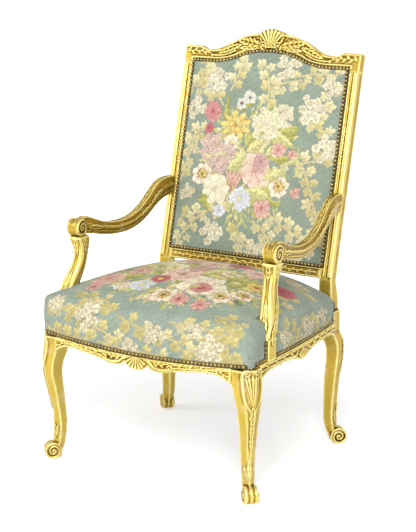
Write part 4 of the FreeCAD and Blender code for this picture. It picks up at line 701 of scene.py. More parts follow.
# The turn from one flower or leaf to the next in an even spread
GOLDEN_TURN = 2.4
# The drawn line's width and the random seed of each cover
BACK_PEN, BACK_SEED = 1.5, 40
SEAT_PEN, SEAT_SEED = 1.8, 70

# Lobes of a vine leaf: the way each one points from the stalk, and its length
LEAF_LOBES = ((1.85, 0.58), (-1.85, 0.58), (0.92, 0.84), (-0.92, 0.84), (0.0, 1.0))


class Tapestry:
    """Colours on a cloth's spots, laid one over another like the weaver's areas of wool."""

    def __init__(self, u, v, ground, pen, seed):
        self.pen = pen
        self.rng = np.random.default_rng(seed)
        self.u = u + 1.3 * wander(u, v, 15, seed + 1) + 0.7 * wander(u, v, 6, seed + 2)
        self.v = v + 1.3 * wander(u, v, 15, seed + 3) + 0.7 * wander(u, v, 6, seed + 4)
        shade = 1.0 + 0.05 * wander(u, v, 70, seed + 5) + 0.03 * wander(u, v, 9, seed + 6)
        self.colour = np.array(ground) * shade[:, None]

    def near(self, centre, reach):
        """Spots around a centre and their places from it."""
        du, dv = self.u - centre[0], self.v - centre[1]
        index = np.nonzero((np.abs(du) < reach) & (np.abs(dv) < reach))[0]
        return index, du[index], dv[index]

    def lay(self, index, cover, colour):
        """Cover spots with a colour, or with a colour for each spot."""
        cover = np.clip(cover, 0.0, 1.0)[:, None]
        self.colour[index] = self.colour[index] * (1.0 - cover) + np.asarray(colour) * cover

    def stitched(self, depth=1.0):
        """The colours with the hatching of the weave and the unevenness of single stitches."""
        hatching = 0.09 * wander(self.u, 0.3 * self.v, 5, 21) + 0.05 * wander(self.u, self.v, 4, 22)
        stitches = self.rng.normal(0, 0.075, len(self.colour))
        deep = np.clip(self.colour, 0.0, 1.0) ** depth
        return np.clip(deep * (1.0 + hatching + stitches)[:, None], 0.0, 1.0)

    def stem(self, route, width, colour):
        """A branch or stalk, lighter on its middle."""
        middle = np.mean(route, axis=0)
        reach = np.max(np.abs(np.array(route) - middle)) + 3 * width
        index, du, dv = self.near(middle, reach)
        gap = line_distance(du, dv, [(a - middle[0], b - middle[1]) for a, b in route])
        light = np.clip(0.7 + 0.6 * (1 - gap / width), 0.55, 1.25)[:, None]
        self.lay(index, ramp(width, 0.5 * width, gap), np.array(colour) * light)

    def blade(self, foot, tip, width, fullest, blunt):
        """Spots of a leaf or petal: their share along it, distance across, half width and cover."""
        du, dv = tip[0] - foot[0], tip[1] - foot[1]
        length = math.hypot(du, dv)
        middle = (foot[0] + du / 2, foot[1] + dv / 2)
        index, near_u, near_v = self.near(middle, 0.6 * (length + width))
        along = (near_u * du + near_v * dv) / length ** 2 + 0.5
        across = (near_v * du - near_u * dv) / length
        share = np.clip(along, 0.0, 1.0)
        half = 0.5 * width * np.sin(np.pi * share ** fullest) ** blunt
        cover = ramp(-0.7, 0.7, half - np.abs(across)) * (along > 0) * (along < 1)
        return index, share, across, half, cover

    def leaf(self, foot, tip, width, colour):
        """A pointed leaf, lighter on one side, with its edge and veins drawn."""
        index, share, across, half, cover = self.blade(foot, tip, width, 0.75, 0.8)
        tone = 0.82 + 0.3 * (across > 0) + 0.12 * np.sin(22 * share - np.abs(across) / 2.2)
        self.lay(index, cover, np.array(colour) * tone[:, None])
        drawn = highest(ridge(half - np.abs(across), 0.8 * self.pen), 0.8 * ridge(across, 0.6 * self.pen))
        self.lay(index, 0.6 * cover * drawn, np.array(colour) * 0.45)

    def petal(self, foot, tip, width, colour, line, root=0.8, fullest=1.3):
        """A petal or lobe: a light body, a drawn edge, and streaks up from its root."""
        index, share, across, half, cover = self.blade(foot, tip, width, fullest, 0.7)
        self.lay(index, cover, np.array(colour) * (0.86 + 0.22 * share)[:, None])
        streak = root * ramp(0.75, 0.2, share) * (0.5 + 0.5 * np.cos(1.5 * across))
        drawn = highest(0.95 * ridge(half - np.abs(across), min(self.pen, 0.14 * width)), streak)
        self.lay(index, cover * drawn, line)

    def vine_leaf(self, foot, size, turn, colour):
        """A leaf of five lobes round its stalk, lighter on those that point up."""
        for lobe, length in LEAF_LOBES:
            angle = turn + lobe
            reach = size * length
            tint = np.array(colour) * (0.94 + 0.14 * math.sin(angle))
            self.petal(foot, polar(foot, reach, angle), 0.66 * reach, tint, LEAF_LINE, 0.45, 0.85)

    def branches(self, cream, rows):
        """Branches, each by its curve and its count of stalked leaves, to either side by turns."""
        for *curve, count in rows:
            route = bend(*curve)
            self.stem(route, BRANCH_WIDTH, TAN)
            for number in range(count):
                place, heading = walk(route, (number + 0.7) / count)
                heading += (0.9 if number % 2 else -0.9) + self.rng.uniform(-0.3, 0.3)
                foot = polar(place, self.rng.uniform(9, 18), heading)
                self.stem([place, foot], STALK_WIDTH, TAN)
                colour = CREAM if self.rng.random() < cream else STRAW
                size = VINE_LEAF * self.rng.uniform(0.8, 1.2)
                self.vine_leaf(foot, size, heading + self.rng.uniform(-0.5, 0.5), colour)

    def leaves(self, rows):
        """Leaves, each by its foot, tip, width and colour."""
        for row in rows:
            self.leaf(*row)

    def any_of(self, tints):
        """One of several colours."""
        return tints[self.rng.integers(len(tints))]

    def filling(self, centre, spread, count):
        """The leaves and stalks that fill a posy between its flowers."""
        for number in range(count):
            angle = GOLDEN_TURN * number + self.rng.uniform(-0.3, 0.3)
            foot = polar(centre, np.array(spread) * math.sqrt((number + 0.5) / count), angle)
            angle += self.rng.uniform(-0.7, 0.7)
            length = self.rng.uniform(20, 38)
            width = length * self.rng.uniform(0.35, 0.6)
            self.leaf(foot, polar(foot, length, angle), width, self.any_of(FILLING_TINTS))

    def sprigs(self, centre, spread, count, nearest=0.35):
        """Slender leaves that stand out round a posy and between its flowers."""
        for number in range(count):
            angle = GOLDEN_TURN * number + self.rng.uniform(-0.4, 0.4)
            foot = polar(centre, np.array(spread) * self.rng.uniform(nearest, 1.0), angle)
            angle += self.rng.uniform(-0.9, 0.9)
            tip = polar(foot, self.rng.uniform(16, 36), angle)
            width = self.rng.uniform(4.5, 7.5)
            self.petal(foot, tip, width, self.any_of(SPRIG_TINTS), OLIVE, 0.5)

    def bloom(self, centre, radius, petals, colour, line, heart, whorls=1, turn=0.0, open_heart=0.22):
        """An open flower: whorls of petals that shorten towards its heart."""
        for whorl in range(whorls):
            reach = radius * (1.0 - 0.72 * whorl / whorls)
            for number in range(petals):
                angle = turn + 0.9 * whorl + 2 * math.pi * (number + self.rng.uniform(-0.12, 0.12)) / petals
                tip = polar(centre, reach * self.rng.uniform(0.86, 1.1), angle)
                tint = np.array(colour) * self.rng.uniform(0.88, 1.06)
                self.petal(centre, tip, 2.1 * reach * math.sin(math.pi / petals), tint, line)
        index, du, dv = self.near(centre, radius)
        self.lay(index, ramp(1.0, -1.0, np.hypot(du, dv) - open_heart * radius), heart)

    def rose(self, centre, radius, pale, deep, turn=0.0):
        """A full rose: many whorls of pale petals lined with a deep colour."""
        self.bloom(centre, radius, 7, pale, deep, deep, 4, turn, 0.05)

    def anemone(self, centre, radius, turn=0.0):
        """A pale flower edged and ringed with red round a dark eye."""
        self.bloom(centre, radius, 8, WHITE, RED, RED, 1, turn, 0.42)
        self.bloom(centre, 0.42 * radius, 7, YELLOW, BARK, BARK, 1, turn, 0.3)

    def cluster(self, centre, radius, colour, line, heart, count=9):
        """A head of many small flowers over a shaded ground."""
        index, du, dv = self.near(centre, 1.1 * radius)
        self.lay(index, 0.4 * ramp(radius, 0.5 * radius, np.hypot(du, dv)), np.array(line) * 0.8)
        for number in reversed(range(count)):
            angle = GOLDEN_TURN * number + self.rng.uniform(-0.4, 0.4)
            spot = polar(centre, radius * math.sqrt((number + 0.4) / count) * 0.97, angle)
            tint = np.array(colour) * self.rng.uniform(0.88, 1.06)
            size = radius * self.rng.uniform(0.27, 0.35) * math.sqrt(12 / count)
            self.bloom(spot, size, 5, tint, line, heart, 1, self.rng.uniform(0, 3))


def paint_back(u, v):
    """Back cover: a bouquet before branches in blossom."""
    cloth = Tapestry(u, v, TEAL, BACK_PEN, BACK_SEED)
    cloth.branches(0.7, (
        ((20, 430), (28, 495), (-6, 556), 8), ((16, 490), (52, 512), (112, 520), 7),
        ((-120, 440), (-160, 492), (-236, 488), 8), ((-168, 486), (-196, 515), (-192, 552), 6),
        ((79, 295), (150, 292), (232, 322), 8), ((140, 300), (172, 260), (192, 205), 7),
        ((-60, 150), (-130, 150), (-214, 120), 8), ((-155, 370), (-195, 370), (-222, 330), 6),
        ((-200, 350), (-215, 300), (-228, 230), 7), ((60, 160), (110, 120), (190, 95), 8),
        ((-20, 120), (-44, 80), (16, 54), 7), ((20, 130), (60, 110), (90, 60), 6),
        ((150, 400), (185, 430), (214, 515), 8), ((-100, 480), (-90, 520), (-70, 560), 6),
        ((120, 440), (160, 400), (200, 385), 6), ((-150, 130), (-190, 90), (-215, 55), 6),
        ((100, 530), (150, 545), (215, 540), 6), ((190, 200), (215, 160), (218, 110), 6),
    ))
    for centre, radius in (
        ((63, 556), 34), ((-151, 506), 36), ((-212, 430), 32), ((154, 447), 38), ((206, 344), 34),
        ((206, 505), 28), ((-113, 89), 34), ((33, 56), 26), ((178, 62), 30), ((-206, 190), 22),
    ):
        cloth.cluster(centre, radius, WHITE, UMBER, PALE)
    for tip in ((-27, 90), (-70, 108), (12, 100), (26, 122), (-48, 98), (-2, 112)):
        cloth.stem(bend((-34, 190), (-30, 150), tip), 2.2, OLIVE)
    cloth.sprigs((-18, 290), (152, 150), 120, 0.7)
    cloth.filling((-18, 290), (118, 118), 110)
    cloth.leaves((
        ((50, 340), (124, 396), 56, OLIVE), ((40, 372), (104, 340), 40, PALE),
        ((-20, 350), (20, 310), 40, PALE), ((-80, 430), (-20, 452), 22, OLIVE),
        ((-62, 312), (-14, 252), 48, PALE), ((-30, 330), (-6, 372), 36, OLIVE),
        ((46, 240), (98, 280), 40, PALE), ((-150, 190), (-122, 142), 26, OLIVE),
        ((-110, 400), (-104, 474), 14, OLIVE), ((60, 300), (118, 310), 22, OLIVE),
        ((-12, 208), (70, 196), 54, PALE), ((20, 184), (76, 226), 40, OLIVE),
    ))
    for centre, radius, count in (
        ((26, 380), 42, 18), ((62, 412), 36, 14), ((14, 410), 30, 10), ((88, 430), 20, 7),
    ):
        cloth.cluster(centre, radius, WHITE, TAN, PALE, count)
    for turn in range(9):
        tip = polar((-71, 387), (52, 42), 0.3 + turn * 2 * math.pi / 9)
        cloth.petal((-71, 387), tip, 17, YELLOW, RUST)
    cloth.bloom((-71, 387), 18, 6, YELLOW, RUST, RUST)
    cloth.bloom((-150, 420), 30, 9, DEEP_ROSE, RED, RED, 3, 0.0, 0.14)
    cloth.bloom((-155, 372), 16, 6, PINK, RED, RED, 2)
    for centre, radius in (((-38, 464), 21), ((-62, 447), 18)):
        cloth.bloom(centre, radius, 11, WHITE, BLUE, BARK)
    cloth.bloom((-78, 336), 25, 10, WHITE, STRAW, YELLOW, 1, 0.2, 0.3)
    for centre, radius in (((-142, 330), 34), ((-92, 306), 34), ((-116, 270), 34), ((-150, 300), 24)):
        cloth.cluster(centre, radius, MILK_BLUSH, MAUVE, BLUSH, 12)
    cloth.anemone((-160, 244), 34, 0.5)
    cloth.rose((8, 266), 52, WARM_BLUSH, PINK, 0.4)
    cloth.bloom((22, 290), 27, 8, DUSKY_BLUSH, MAUVE, MAUVE, 3, 0.2, 0.08)
    for turn in (-1.1, -0.8, -0.5, -0.2, 0.1, 0.4, 0.7):
        tip = polar((-62, 206), (46, 62), math.pi / 2 - turn)
        cloth.petal((-58, 204), tip, 11, BLUSH, RUST)
    cloth.rose((-112, 206), 44, WHITE, TAN)
    cloth.anemone((86, 231), 34, 0.2)
    for centre, radius in (((71, 330), 23), ((115, 322), 15), ((139, 218), 16), ((42, 168), 28)):
        cloth.bloom(centre, radius, 7, BLUSH, RED, PINK, 3)
    cloth.bloom((-30, 186), 36, 13, ICE, BLUE, YELLOW, 2, 0.1, 0.16)
    cloth.bloom((-90, 150), 18, 6, ICE, BLUE, BLUE)
    cloth.leaves((
        ((-78, 262), (-26, 306), 30, PALE), ((-2, 212), (66, 196), 34, PALE), ((36, 246), (90, 262), 26, PALE),
        ((-24, 316), (30, 356), 30, STRAW), ((70, 376), (128, 384), 24, OLIVE),
        ((66, 366), (118, 338), 24, PALE), ((-96, 404), (-112, 456), 12, OLIVE),
        ((-130, 184), (-168, 170), 18, OLIVE), ((60, 190), (104, 176), 18, OLIVE),
    ))
    cloth.sprigs((-18, 290), (120, 120), 36)
    return cloth.stitched()


def paint_seat(u, v):
    """Seat cover: a wreath of flowers over the top, blossom and leaves down the front and sides."""
    cloth = Tapestry(u, v, SEAT_TEAL, SEAT_PEN, SEAT_SEED)
    cloth.branches(0.3, (
        ((-290, -330), (-210, -370), (-60, -415), 12), ((-230, -350), (-150, -330), (-80, -345), 6),
        ((-60, -355), (60, -400), (190, -395), 10), ((100, -350), (200, -345), (262, -352), 8),
        ((120, -410), (200, -420), (280, -425), 8), ((-120, -430), (-30, -445), (80, -440), 8),
        ((350, -190), (372, -120), (350, 30), 9), ((340, -20), (380, 40), (372, 110), 6),
        ((-350, -190), (-365, -100), (-345, 60), 9), ((-250, 60), (-120, 110), (60, 95), 10),
        ((80, 95), (200, 90), (270, 30), 8), ((250, -10), (285, -70), (280, -150), 6),
        ((-270, -20), (-280, -100), (-262, -200), 8), ((200, -300), (250, -290), (285, -325), 5),
        ((-230, -280), (-160, -300), (-100, -320), 5), ((-300, -395), (-240, -440), (-150, -425), 8),
        ((230, -345), (270, -380), (262, -425), 6), ((390, 20), (400, -60), (395, -150), 6),
        ((-390, 20), (-400, -60), (-395, -150), 6),
    ))
    for centre, radius in (
        ((-155, -368), 38), ((54, -385), 30), ((205, -398), 38), ((165, -360), 22), ((-262, -338), 26),
        ((365, -30), 32), ((338, 70), 28), ((-360, -40), 30), ((-215, 55), 30), ((10, 110), 30),
        ((215, 70), 26), ((-20, -430), 22), ((372, -150), 26),
    ):
        cloth.cluster(centre, radius, WHITE, UMBER, PALE)
    cloth.sprigs((20, -130), (250, 165), 130, 0.75)
    cloth.filling((20, -120), (215, 150), 300)
    cloth.leaves((
        ((-170, -190), (-90, -165), 44, OLIVE), ((-60, -150), (-110, -100), 40, PALE),
        ((110, -95), (190, -70), 50, OLIVE), ((40, -80), (105, -30), 46, PALE),
        ((130, -110), (180, -140), 36, PALE), ((0, -70), (-60, -30), 40, OLIVE),
        ((210, -40), (280, -60), 34, OLIVE), ((-120, -60), (-190, -30), 40, PALE),
        ((150, -90), (230, -110), 44, OLIVE), ((60, -60), (130, -70), 44, STRAW),
    ))
    cloth.rose((-192, -190), 50, BLUSH, RED)
    cloth.bloom((-66, -222), 36, 9, ICE, BLUE, YELLOW, 2, 0.3)
    cloth.bloom((-118, -236), 26, 8, WHITE, MAUVE, YELLOW, 2, 0.3)
    cloth.rose((-5, -124), 60, SHELL_PINK, RED, 0.8)
    cloth.rose((84, -172), 64, WHITE, RED, 0.2)
    cloth.bloom((92, -190), 32, 7, SOFT_ROSE, RED, RED, 3, 0.7)
    for centre, radius in (((22, -256), 36), ((158, -205), 38), ((200, -164), 34)):
        cloth.anemone(centre, radius, 0.2)
    cloth.bloom((72, -262), 28, 7, BLUSH, RED, RED, 3)
    cloth.bloom((138, -268), 26, 7, BLUSH, RED, PINK, 3)
    cloth.rose((14, 2), 46, SHELL_PINK, RED, 0.5)
    cloth.cluster((6, -56), 36, BLUSH, MAUVE, PALE, 12)
    cloth.rose((141, 8), 44, SHELL_PINK, MAUVE, 0.9)
    cloth.rose((240, -42), 38, PINK, RED, 0.3)
    cloth.cluster((-110, -20), 46, WHITE, STRAW, PALE, 20)
    cloth.bloom((-60, -66), 34, 11, WHITE, STRAW, YELLOW, 2)
    cloth.rose((-134, -126), 38, BLUSH, RED, 0.6)
    cloth.anemone((-250, -120), 30, 0.4)
    cloth.leaves((
        ((40, -110), (96, -78), 30, OLIVE), ((60, -104), (120, -104), 28, STRAW),
        ((44, -96), (70, -48), 28, PALE), ((-60, -150), (-96, -118), 26, OLIVE),
        ((-50, -96), (-84, -70), 26, STRAW), ((150, -128), (214, -124), 30, PALE),
        ((130, -140), (176, -112), 28, OLIVE), ((-150, -170), (-176, -140), 26, PALE),
        ((-20, -40), (-50, -10), 28, OLIVE),
    ))
    cloth.bloom((-40, -176), 28, 8, PINK, RED, YELLOW, 2, 0.4)
    cloth.bloom((196, -92), 30, 8, YELLOW, RUST, RUST, 2, 0.1)
    cloth.bloom((-200, -250), 26, 7, BLUSH, RED, RED, 2, 0.6)
    cloth.anemone((100, -60), 26, 0.9)
    cloth.rose((70, 44), 36, PINK, RED, 0.2)
    cloth.rose((-60, 30), 38, BLUSH, RED, 0.2)
    cloth.sprigs((20, -130), (220, 140), 50)
    return cloth.stitched(1.2)


# Upholstery forms


def grid_mesh(name, *axes):
    """A mesh over a grid of places in millimetres, and the places as rows."""
    rows, columns = axes[0].shape
    index = np.arange(rows * columns).reshape(rows, columns)
    faces = np.stack([index[:-1, :-1], index[:-1, 1:], index[1:, 1:], index[1:, :-1]], axis=-1)
    places = np.column_stack([axis.ravel() for axis in axes])
    mesh = bpy.data.meshes.new(name)
    mesh.from_pydata((places * MM).tolist(), [], faces.reshape(-1, 4).tolist())
    mesh.update()
    return mesh, places


def weave_layer(mesh, u, v):
    """Places on the flat cloth, for its ribs."""
    layer = mesh.attributes.new("weave", "FLOAT_VECTOR", "POINT")
    flat = np.column_stack([u.ravel(), v.ravel(), np.zeros(u.size)]) * MM
    layer.data.foreach_set("vector", flat.astype(np.float32).ravel())


def on_slope(up, out):
    """Depth and height of a spot up the back's slope that stands out from its front."""
    return BACK_FRONT + up * LEAN_SIN - out * LEAN_COS, BACK_LOW + up * LEAN_COS + out * LEAN_SIN


def finish_tapestry(name, mesh, paint, braid_and_shade, u, v, material, *nodes):
    """A painted cover, dark with braid and painted shade under its nails."""
    braid_and_shade = BRAID_AND_SHADE_COVER * braid_and_shade[:, None]
    write_colour(mesh, "paint", paint * (1 - braid_and_shade) + np.array(NAIL_BRAID_AND_SHADE) * braid_and_shade)
    weave_layer(mesh, u, v)
    return dress(link(name, mesh), "tapestry", material, *nodes)


# How fully the braid and its painted shade cover the cloth
BRAID_AND_SHADE_COVER = 0.9

# The back's panel: its half width, its foot, its arched top and its stuffing
BACK_GRID = (291, 331)
PANEL_HALF = 246.0
PANEL_LOW = 30.0
PANEL_RISE = (0.0, 60.0, 108.0, 140.0, 172.0, 246.0)
PANEL_TOP = (601.0, 596.0, 578.0, 569.0, 565.0, 565.0)
BACK_CROWN = 13.0
BACK_EDGE = 2.6
BACK_NAILED = 9.0
BACK_SWELL = 150.0
BACK_FULLNESS = 2.6
# The band of braid with painted shade in from the back's nailed edge
BACK_BRAID_AND_SHADE = (10.0, 7.5)


def back_cover(material):
    """The stuffed back: a flat nailed edge, then a low even crown."""
    columns, rows = BACK_GRID
    s, t = np.meshgrid(np.linspace(-1, 1, columns), np.linspace(0, 1, rows))
    u = PANEL_HALF * s
    top = np.interp(np.abs(u), PANEL_RISE, PANEL_TOP)
    v = PANEL_LOW + (top - PANEL_LOW) * t
    rim = np.minimum(PANEL_HALF * (1 - np.abs(s)), np.minimum(v - PANEL_LOW, top - v))
    swell = 1.0 - (1.0 - np.clip((rim - BACK_NAILED) / BACK_SWELL, 0.0, 1.0)) ** BACK_FULLNESS
    lift = BACK_EDGE * ramp(-1.0, 3.0, rim) + (BACK_CROWN - BACK_EDGE) * swell
    lift += 0.35 * np.sin(u / 41 + v / 57) * np.sin(v / 63 - u / 71) * swell
    mesh, _ = grid_mesh("back_tapestry", u, *on_slope(v, lift))
    paint = paint_back(u.ravel(), v.ravel())
    # Braid and painted shade along the back's nailed edge
    braid_and_shade = ramp(*BACK_BRAID_AND_SHADE, rim.ravel())
    nodes = "back_cover", "back_stuffing", "back_hessian"
    piece = finish_tapestry("back_tapestry", mesh, paint, braid_and_shade, u, v, material, *nodes)


# The seat's stuffing: its edge, crown and peak, and how the dome runs out ahead, aft and to the sides
SEAT_GRID = 301
SEAT_EDGE = 446.0
SEAT_CROWN = 505.0
SEAT_PEAK_Y = -42.0
DOME_AHEAD = 303.0
DOME_AFT = 232.0
DOME_FULLNESS = 2.4
SEAT_FALL = 26.0
SEAT_FALL_FROM = (-90, 150)
WALL_BULGE = 4.5
# The share of the grid that is the top, and the share that counts as a side of the unit square
TOP_SHARE = 0.74
RIM = 0.999
# The tuck under the back
SEAT_TUCK_Y = 158.0
SEAT_REAR = 197.0
SEAT_REAR_LOW = 380.0
SEAT_REAR_TOP = 444.0
SEAT_WALL_HALF = 235.0
# Shares of the wall below which the cover is held by its nails or by the tuck
NAILED_DROP = 0.93
TUCKED_DROP = 0.3
# The tuck's run down the wall and in from its ends
TUCK_RUN = (0.0, 0.35)
TUCK_END = 12
# How often the cover is left to settle, and the steps of each time
SETTLE_ROUNDS = 4
SETTLE_STEPS = 16
# The cut round an arm support: its depth, the calm wall beside it, the drawn-in cover and its braid with
# painted shade
SUPPORT_CUT_Y = -227.0
SUPPORT_CALM = (70, 40)
SUPPORT_GAP = (22.5, 19.5)
SUPPORT_FOOT = (340, 352)
SUPPORT_LEAN = (400, 430)
SUPPORT_HIGH_Y = -216.0
SUPPORT_HIGH_GAP = (30, 22)
SUPPORT_INNER = 288.5
SUPPORT_HIGH_IN = 8.0
SUPPORT_BRAID_AND_SHADE = (31, 29)
SUPPORT_BRAID_AND_SHADE_TOP = (404, 401)
# The braid with painted shade along the nails, and where it stops at the front corners
SEAT_BRAID_AND_SHADE = (12.5, 10.0)
CORNER_Y = (-303, -297)
CORNER_X = (311, 305)
# The back posts and the lower rail that the cover keeps clear of
POST_FRONT = (158, 162)
POST_INNER = 234.5
RAIL_FRONT = (156, 164)
RAIL_UNDER = 452
RAIL_CLEAR = 8


def side_x(y):
    """Half width of the seat at a depth."""
    share = np.clip((y + FRONT_LINE) / SEAT_DEPTH, 0.0, 1.1)
    return HALF_FRONT - (HALF_FRONT - HALF_BACK) * share + 4 * SIDE_BOW * share * (1 - share)


def seat_rim(s, t):
    """A spot of the unit square laid on the seat's plan, with rounded front corners."""
    y = np.interp(t, (-1, 1), (-FRONT_LINE, SEAT_TUCK_Y))
    x = s * side_x(y)
    bow = FRONT_BOW * (1 - np.clip(x / HALF_FRONT, -1, 1) ** 2)
    y = y - bow * np.clip((1 - t) / 2, 0, 1) ** 2
    rounding = np.clip(np.minimum(np.abs(s), -t), 0, 1) ** 24
    return x * (1 - 0.016 * rounding), y + 5.0 * rounding


def seat_cover(material):
    """The stuffed seat: a soft dome, rolled edges and walls down to the nail line."""
    line = np.linspace(-1, 1, SEAT_GRID)
    a, b = np.meshgrid(line, line)
    ring = np.maximum(np.abs(a), np.abs(b))
    safe = np.maximum(ring, 1e-6)
    edge_s, edge_t = a / safe, b / safe
    flank, rear, wall = np.abs(edge_s) >= RIM, edge_t >= RIM, ring > TOP_SHARE
    inner = np.clip(ring / TOP_SHARE, 0.0, 1.0)
    x_rim, y_rim = seat_rim(edge_s, edge_t)
    x_top, y_top = seat_rim(edge_s * inner, edge_t * inner)
    side = np.clip(np.abs(x_top) / side_x(y_top), 0, 1)
    fore = (y_top - SEAT_PEAK_Y) / np.where(y_top < SEAT_PEAK_Y, -DOME_AHEAD, DOME_AFT)
    dome = (1 - side ** DOME_FULLNESS) * (1 - np.clip(fore, 0, 1) ** DOME_FULLNESS)
    edge = SEAT_EDGE - SEAT_FALL * ramp(*SEAT_FALL_FROM, y_top) * side ** 3
    drop = np.clip((ring - TOP_SHARE) / (1 - TOP_SHARE), 0.0, 1.0)
    low = NAIL_HEIGHT - COVER_LAP - NAIL_DIP * np.where(edge_t <= -RIM, 1 - edge_s ** 2, 0.0)
    low = np.where(rear, SEAT_REAR_LOW, low)
    out_x = np.where(flank, np.sign(edge_s), 0.0)
    out_y = np.where(np.abs(edge_t) >= RIM, np.sign(edge_t), 0.0)
    calm = ramp(*SUPPORT_CALM, np.abs(y_rim - SUPPORT_CUT_Y)) * flank
    bulge = WALL_BULGE * np.sin(np.pi * drop) * wall * (1 - calm)
    x = np.where(wall, x_rim + bulge * out_x, x_top)
    y = np.where(wall, y_rim + bulge * np.minimum(out_y, 0.0), y_top)
    tuck = np.where(rear & wall, ramp(*TUCK_RUN, drop) * (SEAT_REAR - SEAT_TUCK_Y), 0.0)
    y = y + tuck * ramp(SEAT_WALL_HALF, SEAT_WALL_HALF - TUCK_END, np.abs(x))
    z = np.where(wall, edge + (low - edge) * drop, edge + (SEAT_CROWN - SEAT_EDGE) * dome)
    z = np.where(rear & wall, np.minimum(z, SEAT_REAR_TOP), z)
    mesh, places = grid_mesh("seat_tapestry", x, y, z)
    held = ((drop > NAILED_DROP) | (rear & (drop > TUCKED_DROP))).ravel()
    for step in range(SETTLE_ROUNDS):
        soft = np.column_stack([evened(mesh, places[:, axis], SETTLE_STEPS) for axis in range(3)])
        places = np.where(held[:, None], places, soft)
    places = clear_of_frame(places)
    write_points(mesh, places)
    flat_u = np.where(wall, x_rim + out_x * drop * (SEAT_EDGE - low), x_top).ravel()
    flat_v = np.where(wall, y_rim + out_y * drop * (SEAT_EDGE - low), y_top).ravel()
    paint = paint_seat(flat_u, flat_v)
    above = (drop - 1.0) * (low - SEAT_EDGE)
    # Braid and painted shade along the nails, stopping at the front corners, and a dark band of painted shade
    # beside each arm support
    corner = np.where(flank, ramp(*CORNER_Y, y_rim), ramp(*CORNER_X, np.abs(x_rim)))
    hem_and_shade = (ramp(*SEAT_BRAID_AND_SHADE, above) * corner * wall).ravel()
    beside = ramp(*SUPPORT_BRAID_AND_SHADE, np.abs(places[:, 1] - SUPPORT_CUT_Y)) * (wall & flank).ravel()
    braid_and_shade = np.maximum(hem_and_shade, beside * ramp(*SUPPORT_BRAID_AND_SHADE_TOP, places[:, 2]))
    nodes = "seat_cover", "seat_stuffing", "seat_hessian"
    piece = finish_tapestry("seat_tapestry", mesh, paint, braid_and_shade, flat_u, flat_v, material, *nodes)


def clear_of_frame(places):
    """The cover drawn in round the arm supports and the posts, and under the back's lower rail."""
    x, y, z = places.T.copy()
    side = np.abs(x)
    lean = ramp(*SUPPORT_LEAN, z)
    beside = np.maximum(
        ramp(*SUPPORT_GAP, np.abs(y - SUPPORT_CUT_Y)) * ramp(*SUPPORT_FOOT, z),
        lean * ramp(*SUPPORT_HIGH_GAP, np.abs(y - SUPPORT_HIGH_Y)),
    )
    limit = SUPPORT_INNER - SUPPORT_HIGH_IN * lean
    side = np.where(side > limit, side + (limit - side) * beside, side)
    side = np.where(side > POST_INNER, side + (POST_INNER - side) * ramp(*POST_FRONT, y), side)
    under = np.minimum(z, RAIL_UNDER - RAIL_CLEAR * ramp(*RAIL_FRONT, y))
    return np.column_stack([np.sign(x) * side, y, np.where(y > RAIL_FRONT[0], under, z)])


NAIL_RADIUS = 4.7
NAIL_RISE = 3.0
NAIL_SIDES = 12
NAIL_RINGS = ((1.0, -0.25), (1.0, 0.08), (0.9, 0.45), (0.62, 0.82), (0.25, 0.98))
# Triangles in a nail's solid, and a direction that no nail points in
NAIL_FACES = 8
NO_NAIL = (0.31, 0.22, 0.93)
# From here on two directions count as one
SAME_WAY = 0.999
# How much the heads differ in tilt, size and wear
NAIL_TILT = 0.04
NAIL_SIZES = (0.94, 1.04)
NAIL_WEAR = 0.12


def nails(node, material):
    """Domed nail heads on the places of a group of nails."""
    source = NODES[node].data
    source.calc_loop_triangles()
    corners = np.array([triangle.vertices[:] for triangle in source.loop_triangles])
    places = read_points(source)[0]
    rng = np.random.default_rng(len(corners))
    points, quads, tones = [], [], []
    for start in range(0, len(corners), NAIL_FACES):
        group = places[corners[start:start + NAIL_FACES]]
        ways = np.cross(group[:, 1] - group[:, 0], group[:, 2] - group[:, 0])
        ways /= np.linalg.norm(ways, axis=1)[:, None]
        alike = (ways @ ways.T > SAME_WAY).sum(axis=1)
        base = ways[np.argmax(alike)]
        rim = group[np.argsort(-alike)[:3]].reshape(-1, 3)
        foot = np.mean(np.unique(np.round(rim, 3), axis=0), axis=0)
        add_dome(points, quads, tones, foot, -base, rng)
    mesh = bpy.data.meshes.new(node + "_heads")
    mesh.from_pydata((np.array(points) * MM).tolist(), [], quads)
    mesh.update()
    write_value(mesh, "tone", np.array(tones))
    return dress(link(node + "_heads", mesh), "nail_brass", material, node)


def add_dome(points, quads, tones, foot, out, rng):
    """One hand-struck head: a dome, tilted and worn a little differently each time."""
    out = out + rng.normal(0, NAIL_TILT, 3)
    out /= np.linalg.norm(out)
    side = np.cross(out, NO_NAIL)
    side /= np.linalg.norm(side)
    up = np.cross(out, side)
    first = len(points)
    size = NAIL_RADIUS * rng.uniform(*NAIL_SIZES)
    wear = rng.uniform(-NAIL_WEAR, NAIL_WEAR)
    # The tone rises from painted shade at the rim to a painted highlight at the crown, shifted by the head's
    # wear
    for share, rise in NAIL_RINGS:
        for number in range(NAIL_SIDES):
            angle = 2 * math.pi * number / NAIL_SIDES
            arm = side * math.cos(angle) + up * math.sin(angle)
            points.append(foot + arm * (size * share) + out * (NAIL_RISE * rise))
            tones.append(min(max(0.12 + 0.75 * rise + wear, 0.0), 1.0))
    points.append(foot + out * NAIL_RISE)
    tones.append(0.85 + wear)
    peak = len(points) - 1
    for level in range(len(NAIL_RINGS)):
        for number in range(NAIL_SIDES):
            here = first + level * NAIL_SIDES + number
            beside = first + level * NAIL_SIDES + (number + 1) % NAIL_SIDES
            if level + 1 < len(NAIL_RINGS):
                quads.append((here, beside, beside + NAIL_SIDES, here + NAIL_SIDES))
            else:
                quads.append((here, beside, peak))


